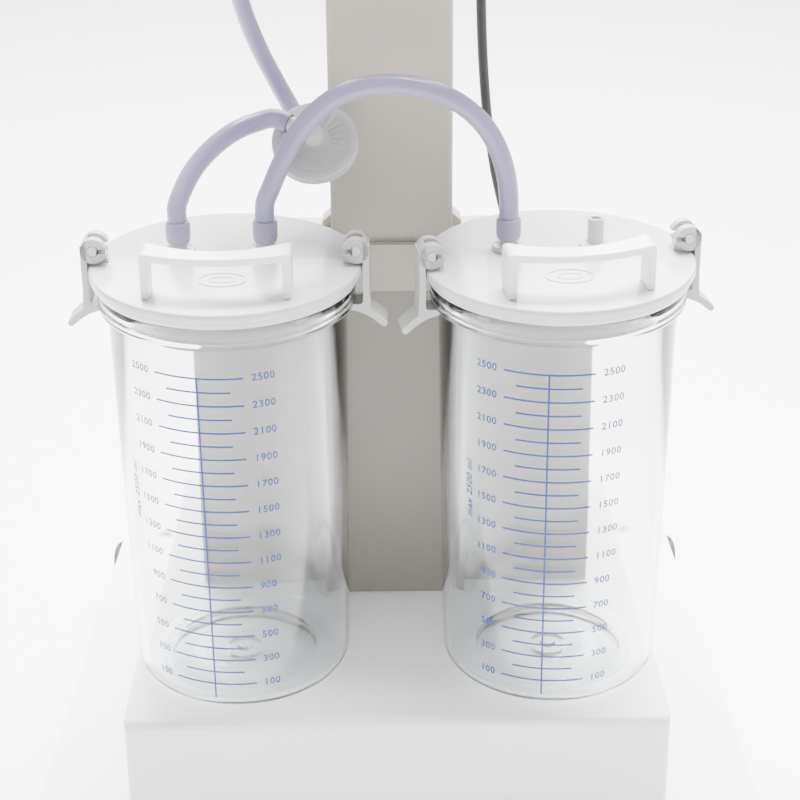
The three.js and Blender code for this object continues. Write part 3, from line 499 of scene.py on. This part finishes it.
tip = Vector((PLUG_HIGH.x - 1, COIL.y))
rim = Vector((COIL.x + 7, COIL.y + COIL_OUTER - 0.4))
CORD_PATH = [*CORD, *coil_line(), *over_to_plug(rim, tip, (14.4, 15.2, 15.3, 15.2, 15.0, 14.6))]
line = catmull(CORD_PATH, 2.5)
TIE_THICK = 0.9
tie_loop = [(19.5, 1.5), (33, 1.1), (45.2, 1.5), (47, 6.5), (45.2, 12.6), (33, 13.2), (21, 12.6),
            (19.2, 6.5), (19.5, 1.5)]
tie = piece("cord_tie", [tube(catmull([(COIL.x, COIL.y - r, z) for r, z in tie_loop], 2), TIE_THICK, 12)],
            BLACK_PLASTIC)
cord = piece("power_lead", [tube(line, CORD_RADIUS, 14)], RUBBER,
             replaces=["power_cord", "power_cord_coil"])


def loft_x(sections, sides=40, power=2.4):
    """Rounded-rectangle rings (x, half width, half height) carried along X."""
    verts, faces = [], []
    for x, ry, rz in sections:
        for k in range(sides):
            c, s = cos(2 * pi * k / sides), sin(2 * pi * k / sides)
            verts.append((x, ry * math.copysign(abs(c) ** (2 / power), c),
                          rz * math.copysign(abs(s) ** (2 / power), s)))
    for i in range(len(sections) - 1):
        for k in range(sides):
            m = (k + 1) % sides
            faces.append((i * sides + k, (i + 1) * sides + k, (i + 1) * sides + m, i * sides + m))
    end = (len(sections) - 1) * sides
    faces += [tuple(range(sides)), tuple(range(end + sides - 1, end - 1, -1))]
    return verts, faces


PLUG_X = PLUG_HIGH.x - 34
relief_rings = [(x, 5.2 - 0.13 * (x - 17) - (0.9 if k % 2 else 0),
                 5.0 - 0.12 * (x - 17) - (0.9 if k % 2 else 0))
                for k, x in enumerate([17 + 1.5 * i for i in range(11)])]
plug = piece("mains_plug", [loft_x([
    (-21.6, 11.5, 9.0), (-22, 10.8, 8.4), (-20, 13.6, 10.8), (-16, 16, 12.8), (2, 16.2, 13), (8, 14.5, 11.4),
    (12, 10.2, 8.2), (15, 7, 6.2), *relief_rings, (33.6, 3.4, 3.4)])], RUBBER,
    replaces=["power_plug"], place=at(PLUG_X, COIL.y, PLUG_Z))
pin_profile = [(0, -39.8), (1.2, -39.6), (2.1, -38.6), (2.4, -37.2), (2.4, -20.5), (0, -20.5)]
pins = piece("plug_pins", [(*lathe(pin_profile, 32), at(0, y) @ ALONG_X) for y in (-9.5, 9.5)], BRASS,
             place=at(PLUG_X, COIL.y, PLUG_Z))

# ---------------------------------------------------------------- jars with their printed scales

JAR_PROFILE = [
    (0, 1.5), (42, 1.5), (44, 1.2), (46, 0.5), (48, 0.3), (54, 0.3), (57, 0.7), (59.6, 1.8), (61.6, 3.6),
    (62.9, 6),
    (63.5, 8.5), (65.2, 120), (66.8, 230.6), (67.3, 232.4), (68.4, 233.2), (70.6, 233.5), (71.4, 233.9),
    (71.7, 234.8), (71.7, 244.9), (71.3, 245.8), (70.4, 246), (67.4, 246), (66.6, 245.6), (66.4, 244.8),
    (66.1, 236.5), (65.2, 234.2), (64, 231.5), (62.2, 120), (60.6, 10), (59.9, 7.2), (58.3, 5.1), (55.8, 3.9),
    (53, 3.6), (45.6, 3.6), (45.1, 4.3), (43.6, 4.4), (43, 3.7), (12, 3.6), (11.6, 4.1), (10.6, 4.1),
    (10.2, 3.5),
    (4.8, 3.5), (4.5, 4.8), (3.6, 5.3), (0, 5.3),
]
SCALE = {
    "left": -11.4, "right": -7.8,           # degrees of the scale's middle from the jar's front
    "long": 21.7, "short": 15.6, "numbers": 25.5, "note": -42.0,
    "low": 18.7, "high": 214.7, "foot": 9.0, "line": 1.09, "text": 6.0,
    "stem": 0.46,                           # half the upright line's width, in degrees
}


def jar_radius(z):
    return 63.5 + (66.8 - 63.5) * (z - 8.5) / (231 - 8.5)


def on_jar(azimuth, z, proud):
    """A point on the jar's wall, by degrees from its front towards +X."""
    r = jar_radius(z) + proud
    return r * sin(radians(azimuth)), -r * cos(radians(azimuth)), z


def wall_strip(a0, a1, z0, z1):
    """A printed bar on the wall: a thin closed shell."""
    steps = max(1, round(abs(a1 - a0) / 1.5))
    verts = []
    for k in range(steps + 1):
        a = a0 + (a1 - a0) * k / steps
        verts += [on_jar(a, z0, 0.02), on_jar(a, z1, 0.02), on_jar(a, z1, 0.16), on_jar(a, z0, 0.16)]
    faces = [(0, 1, 2, 3), tuple(4 * steps + k for k in (3, 2, 1, 0))]
    for k in range(steps):
        faces += [(4 * k + m, 4 * k + (m + 1) % 4, 4 * k + 4 + (m + 1) % 4, 4 * k + 4 + m) for m in range(4)]
    return verts, faces


def lettering(text, size, align="LEFT", shear=0.0, weight=0.0):
    """Flat triangles of a number or a unit, in millimetres around the origin."""
    curve = bpy.data.curves.new("lettering", "FONT")
    curve.body = text
    curve.size = size
    curve.align_x = align
    curve.align_y = "CENTER"
    curve.space_character = 1.12
    curve.shear = shear
    curve.resolution_u = 3
    curve.extrude = 0.07
    curve.offset = weight
    obj = bpy.data.objects.new("lettering", curve)
    bpy.context.scene.collection.objects.link(obj)
    bpy.context.view_layer.update()
    mesh = obj.evaluated_get(bpy.context.evaluated_depsgraph_get()).to_mesh()
    verts = [tuple(v.co) for v in mesh.vertices]
    faces = [tuple(p.vertices) for p in mesh.polygons]
    bpy.data.objects.remove(obj)
    bpy.data.curves.remove(curve)
    return verts, faces


def wrapped(flat, azimuth, z, upright=False):
    """Flat lettering bent round the jar's wall, reading along it or, upright, up it."""
    verts, faces = flat
    out = []
    for x, y, depth in verts:
        along, up = (-y, x) if upright else (x, y)
        here = z + up
        out.append(on_jar(azimuth + math.degrees(along / jar_radius(here)), here, 0.09 + depth))
    return out, faces


for side, centre in JAR.items():
    place = at(centre.x, centre.y, DECK)
    piece(f"clear_jar_{side}", [lathe(JAR_PROFILE, 144)], CLEAR, replaces=[f"jar_{side}"],
          place=place, sharp=60)
    middle = SCALE[side]
    half = SCALE["line"] / 2
    shapes = [wall_strip(middle - SCALE["stem"], middle + SCALE["stem"], SCALE["foot"], SCALE["high"])]
    for volume in range(100, 2600, 100):
        z = SCALE["low"] + (volume - 100) / 2400 * (SCALE["high"] - SCALE["low"])
        numbered = volume // 100 % 2 == 1
        reach = SCALE["long"] if numbered else SCALE["short"]
        shapes.append(wall_strip(middle - reach, middle + reach, z - half, z + half))
        if numbered:
            for sign, align in ((-1, "RIGHT"), (1, "LEFT")):
                flat = lettering(str(volume), SCALE["text"], align, weight=0.13)
                shapes.append(wrapped(flat, middle + sign * SCALE["numbers"], z))
    note = lettering("max 2500 ml", 6.2, "CENTER", 0.25, weight=0.12)
    shapes.append(wrapped(note, middle + SCALE["note"], 134, upright=True))
    piece(f"jar_scale_{side}", shapes, INK, place=place, sharp=60)

# ---------------------------------------------------------------- lids, handles, gaskets and ports

LID_PROFILE = [
    (0, 255.5), (73.9, 255.5), (74.9, 255.3), (75.4, 254.7), (75.5, 253.9), (75.5, 251.6), (75.3, 251.0),
    (74.7, 250.7), (73.9, 250.5), (73.3, 249.9), (73.3, 247.0), (72.9, 246.4), (72.2, 246.3), (69.8, 246.3),
    (69.6, 246.6), (69.6, 250.3), (62.6, 250.3), (62.6, 241.9), (62.2, 241.3), (60.4, 241.3), (60, 241.9),
    (60, 250.3), (0, 250.3),
]
LATCH = {"radius": 72.2, "z": 264.0, "outer": 7.2, "hole": 3.2, "half": 7.5, "slot": 24}
PORT_PLACES = {name: centre_mm(name) for name in
               ("vacuum_port", "link_port_left", "link_port_right", "patient_port")}


def oval_ring(rx, ry, width, z0, z1, steps=56):
    verts = []
    for k in range(steps):
        c, s = cos(2 * pi * k / steps), sin(2 * pi * k / steps)
        verts += [((rx - width) * c, (ry - width) * s, z0), ((rx - width) * c, (ry - width) * s, z1),
                  (rx * c, ry * s, z1), (rx * c, ry * s, z0)]
    faces = []
    for k in range(steps):
        n = (k + 1) % steps
        faces += [(4 * k + m, 4 * k + (m + 1) % 4, 4 * n + (m + 1) % 4, 4 * n + m) for m in range(4)]
    return verts, faces


def d_pin(radius, half):
    """Pin with a flat on the side that faces the lid's middle."""
    outline = [(max(x, -radius * 0.62), z) for x, z in arc(0, 0, radius, 0, 360, 40)[:-1]]
    return extruded(outline, -half, half)


def lid_lug():
    outline = [(64.6, 254.8), (66.2, 264), *[(x + 72.2 - 0.6, z + 264) for x,
        z in arc(0, 0, 4.7, 135, 0, 10)],
               (76, 259), (74.6, 254.8)]
    return extruded(outline, -2.3, 2.3)


for side, centre in JAR.items():
    turn = LID_TURN[side]
    place = at(centre.x, centre.y, DECK, turn)
    lugs = []
    for flip in (0, 180):
        spin = at(turn=flip)
        lugs += [(*lid_lug(), spin),
                 (*d_pin(2.9, LATCH["half"]), spin @ at(LATCH["radius"], 0, LATCH["z"]))]
    piece(f"jar_lid_{side}", [lathe(LID_PROFILE, 160), *lugs], LID_PLASTIC,
          replaces=[f"lid_{side}"], place=place)
    mark_x = {"left": -0.2, "right": 4.0}[side]
    piece(f"lid_mark_{side}", [(*oval_ring(13.5, 10, 1.0, 255.3, 255.95), at(mark_x, -27)),
                               (*oval_ring(7.5, 4.5, 0.8, 255.3, 255.85), at(mark_x, -27))],
          LID_PLASTIC, place=at(centre.x, centre.y, DECK))

HANDLE = {"half": 40.0, "high": 25.8, "bar": 4.3, "post": 4.4, "foot": 255.7}


def handle_front(x):
    return -62 + (62 - 53.7) * (x / 40) ** 2


def handle_back(x):
    return -49.6 + (49.6 - 35.5) * (x / 40) ** 2


def lid_handle():
    half, high, foot = HANDLE["half"], HANDLE["high"], HANDLE["foot"]
    inner_half, inner_high = half - HANDLE["post"], high - HANDLE["bar"]

    def arch(w, h, r):
        side = [(-w, h * k / 4) for k in range(4)] + [(-w, h - r)]
        corner = arc(-w + r, h - r, r, 180, 90, 6)[1:]
        top = [(-(w - r) + 2 * (w - r) * k / 24, h) for k in range(1, 24)]
        half_way = side + corner
        return half_way + top + [(-x, z) for x, z in reversed(half_way)]

    outer, inner = arch(half, high, 3.2), arch(inner_half, inner_high, 1.6)
    n = len(outer)
    verts = [(x, edge(x), z + foot) for line_ in (outer, inner) for edge in (handle_front, handle_back)
             for x, z in line_]
    of_, ob, if_, ib = 0, n, 2 * n, 3 * n
    faces = []
    for k in range(n - 1):
        faces += [(of_ + k, of_ + k + 1, if_ + k + 1, if_ + k), (ob + k, ib + k, ib + k + 1, ob + k + 1),
                  (of_ + k, ob + k, ob + k + 1, of_ + k + 1), (if_ + k, if_ + k + 1, ib + k + 1, ib + k)]
    for k in (0, n - 1):
        faces.append((of_ + k, if_ + k, ib + k, ob + k))
    return verts, faces


GASKET_PROFILE = [
    (62.8, 234.6), (64.6, 234.6), (65.6, 236.4), (66.1, 238), (66.2, 245.8), (66.5, 246.3), (69, 246.4),
    (69.2, 247), (69.2, 249.6), (68.8, 250), (64.2, 250), (63.4, 249.2), (62.8, 248),
]
for side, centre in JAR.items():
    piece(f"carry_handle_{side}", [lid_handle()], HANDLE_PLASTIC, bevel=0.7,
          replaces=[f"lid_handle_{side}"], place=at(centre.x, centre.y, DECK, LID_TURN[side]))
    piece(f"gasket_{side}", [lathe(GASKET_PROFILE, 120)], GASKET, replaces=[f"lid_gasket_{side}"],
          place=at(centre.x, centre.y, DECK))


def latch_shapes():
    """In the latch's own frame: pin at the origin, x outwards, z up."""
    half, outer, hole, slot = LATCH["half"], LATCH["outer"], LATCH["hole"], LATCH["slot"]
    ring = arc(0, 0, outer, 180 - slot / 2, -180 + slot / 2, 44)
    ring += arc(0, 0, hole, -180 + slot, 180 - slot, 32)
    cheeks = [extruded(ring, y0, y1) for y0, y1 in ((-half, -2.7), (2.7, half))]
    bridge = arc(0, 0, outer, 62, -62, 16) + [(3.7, -4.6), (3.7, 4.6)]
    tail = [(3.8, 3), (outer, 3), (outer, -20), (outer + 0.3, -30)]
    tail += quadratic((outer + 0.6, -34.2), (11.5, -36.5), (16.6, -41.3), 8)
    tail += arc(15.1, -42.7, 1.9, 45, -130, 6)
    tail += quadratic((12.6, -43), (6, -36.6), (-2.2, -35), 10)
    tail += arc(-2.3, -33.2, 1.75, -90, -270, 6)
    tail += [(1.5, -31.3), (3.0, -30.9), (3.7, -29.6)]
    return [*cheeks, extruded(bridge, -half, half), extruded(tail, -half, half)]


for name, joint in JOINTS.items():
    if not name.startswith("open_latch_"):
        continue
    node = name.removeprefix("open_")
    axis, pin = joint["axis"], Vector(joint["pos_m"]) / MM
    turn = math.degrees(math.atan2(axis[0], -axis[1]))
    piece(f"clip_{node.removeprefix('latch_')}", latch_shapes(), LATCH_PLASTIC,
          body=joint["child"], bevel=0.55, replaces=[node], place=at(*pin, turn))


def port_profile(below):
    return [
        (2.9, 250.3 - below), (4.7, 250.3 - below), (4.7, 255.4), (8.6, 255.4), (9.2, 256), (9.2, 257.4),
        (8.6, 258.4), (6.4, 258.9), (4.9, 259.6), (4.55, 260.8), (4.55, 272.6), (4.2, 273.6), (3.6, 273.8),
        (2.9, 273.5),
    ]


for name, middle in PORT_PLACES.items():
    low = box_mm(name)[0].z
    piece(f"{name}_fitting", [lathe(port_profile(250.3 + DECK - low), 56)], LID_PLASTIC,
          replaces=[name], place=at(middle.x, middle.y, DECK))
CUFF_PROFILE = [(0, 0), (0.6, -0.4), (1.6, 0.4), (2.1, 2.6), (2.2, 5), (2.2, 10.6), (1.7, 12), (0.9, 12.5)]
for node in ("hose_cuff_vacuum", "hose_cuff_link_left", "hose_cuff_link_right"):
    middle = centre_mm(node)
    outline = [(4.8, 0.2), *[(4.8 + r, z) for r, z in CUFF_PROFILE[1:]], (5.0, 12.6), (4.8, 12.2)]
    piece(node.replace("hose_cuff", "cuff"), [lathe(outline, 64)], CUFF_SILICONE, replaces=[node],
          place=at(middle.x, middle.y, DECK + CUFF["foot"] - 0.2))

# ---------------------------------------------------------------- float and filter

cage = centre_mm("float_cage")
cage_top = box_mm("float_cage")[1].z
cage_low = box_mm("float_cage")[0].z
tall = cage_top - cage_low


def slotted_cup(windows=4, width=26, steps=96):
    """A cup with a rounded foot whose wall is open in a few tall windows."""
    outer = [(0, 0), (4, 0.1), (7.4, 1.1), (10, 3.4), (11.6, 6.6), (12, 10), (12, 12), (12, tall - 8),
             (12, tall - 0.6), (11.4, tall), (5, tall)]
    inner = [(0, 1.9), (3.6, 2), (6.8, 2.9), (8.8, 4.8), (10, 7.4), (10.3, 10.2), (10.3, 12),
        (10.3, tall - 8),
             (10.3, tall - 2.4), (9.8, tall - 2), (5, tall - 2)]
    verts, n = [], len(outer)
    for k in range(steps):
        c, s = cos(2 * pi * k / steps), sin(2 * pi * k / steps)
        verts += [(r * c, r * s, z) for r, z in (*outer, *inner)]

    def opened(k):
        return (360 * (k + 0.5) / steps) % (360 / windows) > 360 / windows - width

    faces, row = [], 2 * n
    for k in range(steps):
        a, b = k * row, (k + 1) % steps * row
        before, after = opened((k - 1) % steps), opened((k + 1) % steps)
        for i in range(n - 1):
            if i == 6 and opened(k):
                if not before:
                    faces.append((a + i, a + i + 1, a + n + i + 1, a + n + i))
                if not after:
                    faces.append((b + i, b + n + i, b + n + i + 1, b + i + 1))
                faces += [(a + i, b + i, b + n + i, a + n + i),
                          (a + i + 1, a + n + i + 1, b + n + i + 1, b + i + 1)]
                continue
            faces += [(a + i, b + i, b + i + 1, a + i + 1), (a + n + i, a + n + i + 1, b + n + i + 1,
                b + n + i)]
        faces.append((a + n - 1, b + n - 1, b + 2 * n - 1, a + 2 * n - 1))
    return verts, faces


piece("float_cup", [slotted_cup()], CAGE, replaces=["float_cage"],
      place=at(cage.x, cage.y, cage_low))
ball = centre_mm("float_ball")
ball_profile = [(8.5 * sin(pi * k / 24), -8.5 * cos(pi * k / 24)) for k in range(25)]
ball_profile[0], ball_profile[-1] = (0, -8.5), (0, 8.5)
ball_profile[12:13] = [(8.5, -0.25), (8.62, -0.15), (8.62, 0.15), (8.5, 0.25)]
piece("ball_float", [lathe(ball_profile, 48)], LID_PLASTIC, body="float_ball",
      replaces=["float_ball"], place=at(*ball))

FILTER = {"place": (-42.4, JAR_Y + 41, DECK + 309), "elevation": 46, "yaw": -4, "radius": 24.2}
ELBOW = {"radius": 4.6, "bore": 2.8, "reach": 15, "rise": 8.6}


def filter_shell(sides=96, ribs=24):
    radius = FILTER["radius"]
    body = lathe([
        (0, 3.4), (7.6, 3.2), (8.2, 2.9), (17.4, 2.3), (18.2, 2.3), (18.6, 2.0), (18.9, 1.3), (22.8, 1.1),
        (23.8, 0.9), (radius, 0.3), (radius, -2.0), (23.9, -2.4), (18, -2.4), (18, 0.4), (0, 0.4),
    ], sides)
    bars = [(*block((8.4, -0.45, 2.0), (17.6, 0.45, 3.3)), at(turn=360 * k / ribs)) for k in range(ribs)]
    steps = lathe([(18.6, 1.2), (19.6, 1.2), (19.6, 1.9), (18.6, 2.1)], sides)
    hub = lathe([(0, 2), (6.4, 2), (6.4, 3.6), (5.5, 4.2), (5.2, 8.6)] +
                [(5.2 * cos(radians(a)), 8.6 + 5.2 * sin(radians(a))) for a in range(10, 90, 10)] + [(0,
                13.8)], 40)
    r, bore, reach = ELBOW["radius"], ELBOW["bore"], ELBOW["reach"]
    arm = lathe([(bore, 3), (r, 3), (r, reach - 4.5), (r + 0.35, reach - 4.2), (r - 0.5, reach),
        (bore, reach)], 40)
    lift = Matrix.Translation((0, 0, ELBOW["rise"])) @ ALONG_X
    return [body, steps, hub, (*arm, lift), *bars]


lean = Matrix.Rotation(radians(90 - FILTER["elevation"]), 4, "X")
filter_place = at(*FILTER["place"], FILTER["yaw"]) @ lean
piece("filter_front", filter_shell(), FROSTED, replaces=["filter_front_shell"],
      place=filter_place @ at(0, 0, 3.4, 155))
piece("filter_rear", filter_shell(), FROSTED, replaces=["filter_rear_shell"],
      place=filter_place @ Matrix.Translation((0, 0, -1.9)) @ Matrix.Rotation(pi, 4, "X") @ at(turn=240))

# ---------------------------------------------------------------- casters

TREAD = [(27, -8), (27.6, -10), (29.5, -11.2), (32, -11.4), (34.2, -9.6), (35.5, -6), (36, -1.8), (36, 1.8),
         (35.5, 6), (34.2, 9.6), (32, 11.4), (29.5, 11.2), (27.6, 10), (27, 8)]
HUB_PROFILE = [(4.4, -12), (10.6, -12), (11.2, -11.4), (12.6, -8.4), (14, -7.6), (24.6, -7.2), (26, -8.2),
               (27.2, -8.6), (27.4, 0), (27.2, 8.6), (26, 8.2), (24.6, 7.2), (14, 7.6), (12.6, 8.4),
               (11.2, 11.4),
               (10.6, 12), (4.4, 12)]
for corner in ("front_left", "front_right", "rear_left", "rear_right"):
    joint = JOINTS[f"roll_{corner}"]
    axis = joint["axis"]
    turn = math.degrees(math.atan2(axis[1], axis[0]))
    place = at(*(Vector(joint["pos_m"]) / MM), turn) @ ALONG_X
    spokes = [(*block((12, -1.1, -7.9), (25.5, 1.1, 7.9)), at(turn=45 * k)) for k in range(8)]
    piece(f"tyre_{corner}", [lathe(TREAD, 96)], TYRE, body=joint["child"],
          replaces=[f"caster_wheel_{corner}"], place=place)
    # the hubs' blue tint is a painted reflection on light-grey plastic
    piece(f"hub_{corner}", [lathe(HUB_PROFILE, 72), *spokes], HUB_PAINTED_REFLECTION, body=joint["child"], place=place)

# ---------------------------------------------------------------- control head

TILT = radians(24)
PANEL = Matrix(((1, 0, 0), (0, sin(TILT), -cos(TILT)), (0, cos(TILT), sin(TILT)))).to_4x4()


def on_panel(joint_name, depth):
    """Frame on the sloping panel: z outwards, y up it; depth is how far the joint's point stands off it."""
    pos = Vector(JOINTS[joint_name]["pos_m"]) / MM
    return Matrix.Translation(pos) @ PANEL @ Matrix.Translation((0, 0, -depth))


gauge = on_panel("needle_turn", 5)
piece("gauge_bezel", [lathe([
    (0, 0.3), (34.6, 0.3), (35.6, 1.2), (36, 2.6), (36, 13), (35.4, 15), (33.8, 16.6), (32.4, 17),
    (30.8, 16.8),
    (30, 15.8), (30, 13.4), (29, 13.4), (29, 3), (0, 3)], 112)], CHROME, replaces=["gauge_case"],
    place=gauge)
piece("gauge_face", [lathe([(0, 3.3), (28.4, 3.3), (28.6, 3.5), (28.6, 4.1), (28.4, 4.3), (0, 4.3)], 96)],
    DIAL,
      replaces=["gauge_dial"], place=gauge)
piece("gauge_glass", [lathe([(0, 13.6), (29.6, 13.6), (29.8, 13.8), (29.8, 15), (29.6, 15.2), (0, 15.2)],
    96)],
      LENS, replaces=["gauge_lens"], place=gauge)
marks = []
for k in range(51):
    angle = 225 - 270 * k / 50
    inner = 22.2 if k % 10 == 0 else 23.6 if k % 5 == 0 else 24.6
    wide = 0.35 if k % 5 == 0 else 0.18
    marks.append((*block((inner, -wide, 4.25), (26.6, wide, 4.4)), at(turn=angle)))
    if k % 10 == 0:
        x, y = 17.6 * cos(radians(angle)), 17.6 * sin(radians(angle))
        marks.append((*lettering(f"{k // 10 * 20}", 4.4, "CENTER"), at(x, y, 4.3)))
piece("gauge_scale", marks, BLACK_INK, place=gauge)

regulator = on_panel("regulator_turn", 15)
piece("regulator_bush", [lathe([
    (5.6, 0.3), (14.4, 0.3), (15, 0.9), (15, 3.4), (14.4, 4), (11.6, 4.6), (11, 5.2), (11, 8.4), (10.6, 8.9),
    (5.6, 8.9)], 64)], CHROME, replaces=["regulator_valve"], place=regulator)


def fluted_knob(sides=120, flutes=10):
    rings = [(0.95, 9.3), (1, 10), (1, 22.4), (0.97, 23.6), (0.9, 24.2)]
    verts = []
    for scale, z in rings:
        for k in range(sides):
            a = 2 * pi * k / sides
            r = (17 + 1.0 * cos(flutes * a)) * scale
            verts.append((r * cos(a), r * sin(a), z))
    faces = [(i * sides + k, i * sides + (k + 1) % sides, (i + 1) * sides + (k + 1) % sides,
        (i + 1) * sides + k)
             for i in range(len(rings) - 1) for k in range(sides)]
    end = (len(rings) - 1) * sides
    faces += [tuple(reversed(range(sides))), tuple(range(end, end + sides))]
    return verts, faces


cap = lathe([(0, 24), (11.4, 24), (11.4, 25.6), (10.6, 26.4), (0, 26.5)], 64)
stem = lathe([(0, 1.2), (5.1, 1.2), (5.1, 9.8), (0, 9.8)], 40)
piece("vacuum_knob", [fluted_knob(), cap, stem], BLACK_PLASTIC, body="regulator_knob",
      replaces=["regulator_knob"], place=regulator)
piece("knob_line", [block((-0.6, 11.6, 24.1), (0.6, 16.4, 24.6))], DIAL,
    body="regulator_knob",
      place=regulator)
ring_marks = [(*block((20.5, -0.3, -0.05), (23.2, 0.3, 0.12)), at(turn=225 - 27 * k)) for k in range(11)]
piece("knob_scale", ring_marks, BLACK_INK, place=regulator)

HANDLE_ROUTE = [
    (-98, 19.3, 752), (-98, 44, 752), (-98, 76, 776), (-97, 96, 812), (-88, 106, 838), (-68, 109, 846),
    (0, 110, 848), (68, 109, 846), (88, 106, 838), (97, 96, 812), (98, 76, 776), (98, 44, 752),
    (98, 19.3, 752),
]
piece("push_bar", [tube(catmull(HANDLE_ROUTE, 3), 9.9, 40),
                   *[(*lathe([(0, 18.4), (16, 18.4), (16, 20.2), (15, 21.2), (10.6, 21.6), (0, 21.6)], 48),
                      at(x, 0, 752) @ ALONG_Y) for x in (-98, 98)]],
      GREY_PLASTIC, replaces=["push_handle"])

inlet = centre_mm("vacuum_inlet")
inlet_top = box_mm("vacuum_inlet")[1].z
piece("inlet_nipple", [lathe([
    (2.6, 0), (9, 0), (9, -3.4), (8.4, -4), (5, -4.3), (4.5, -5), (4.5, -15), (4.9, -15.4), (4.1, -18),
    (2.6, -18)],
    56)], LID_PLASTIC, replaces=["vacuum_inlet"], place=at(inlet.x, inlet.y, inlet_top))
gland = centre_mm("cord_gland")
gland_top = box_mm("cord_gland")[1].z
rings = []
for k in range(9):
    z = -7 - 2.7 * k
    r = 6.0 - 2.0 * (-z - 6) / 26
    rings += [(r, z), (r, z - 1.5), (r - 0.8, z - 1.7), (r - 0.8, z - 2.6)]
piece("lead_gland", [lathe([(0, 0), (7.8, 0), (8, -0.3), (8, -4.6), (7.6, -5), (6.2, -6), *rings, (3.9, -32),
                            (0, -32)], 40)], RUBBER, replaces=["cord_gland"],
      place=at(gland.x, gland.y, gland_top))

# ---------------------------------------------------------------- screws

SCREW_PROFILE = [(0, 2.0), (1.2, 1.95), (2.6, 1.5), (3.4, 0.7), (3.6, 0), (0, 0)]
BACK = box_mm("head_back_cover")[1].y
DOOR = box_mm("service_door")
facing_back = ALONG_Y


def screw_shapes(places, turn_to):
    shapes = []
    for spot in places:
        place_ = Matrix.Translation(spot) @ turn_to
        shapes.append((*lathe(SCREW_PROFILE, 28), place_))
    return shapes


piece("cover_screws", screw_shapes([(x, BACK, z) for x in (-110, 110) for z in (690, 820)], facing_back),
    ZINC)
piece("door_screws", screw_shapes([(x, DOOR[1].y, z) for x in (-110, 0, 110) for z in (200, 332)],
    facing_back),
      ZINC)
cap_box = box_mm("housing_cap")
facing = {-1: Matrix.Rotation(-pi / 2, 4, "Y"), 1: ALONG_X}
piece("cap_screws", [shape for sign in (-1, 1)
                     for shape in screw_shapes([(sign * cap_box[1].x, -29, 405)], facing[sign])], ZINC)

# ---------------------------------------------------------------- finishes on the CAD parts

FINISHES = {
    WHITE_COAT: ["base_tray", "pump_cabinet", "service_door"],
    GREY_COAT: ["housing_cap", "column"],
    # the housing body's darker grey is painted shade, not a different paint
    GREY_COAT_PAINTED_SHADE: ["housing_body"],
    ZINC: ["caster_bar_front", "caster_bar_rear"],
    CASTING: ["pump_motor", "pump_head"],
    HEAD_PLASTIC: ["head_case"],
    GREY_PLASTIC: ["head_back_cover"],
    BLACK_PLASTIC: ["switch_frame", "switch_rocker", *[f"caster_fork_{c}" for c in
                    ("front_left", "front_right", "rear_left", "rear_right")]],
    RED: ["gauge_needle"],
}
EDGE = {"base_tray": 1.2, "pump_cabinet": 1.2, "housing_body": 1.0, "housing_cap": 1.4, "column": 0.6,
        "head_case": 1.2, "head_back_cover": 0.8, "switch_rocker": 0.8, "gauge_needle": 0.15}
for finish, nodes in FINISHES.items():
    for node in nodes:
        obj = bpy.data.objects[node]
        obj.material_slots[0].material = finish
        rounded_edges(obj, EDGE.get(node, 0.5))
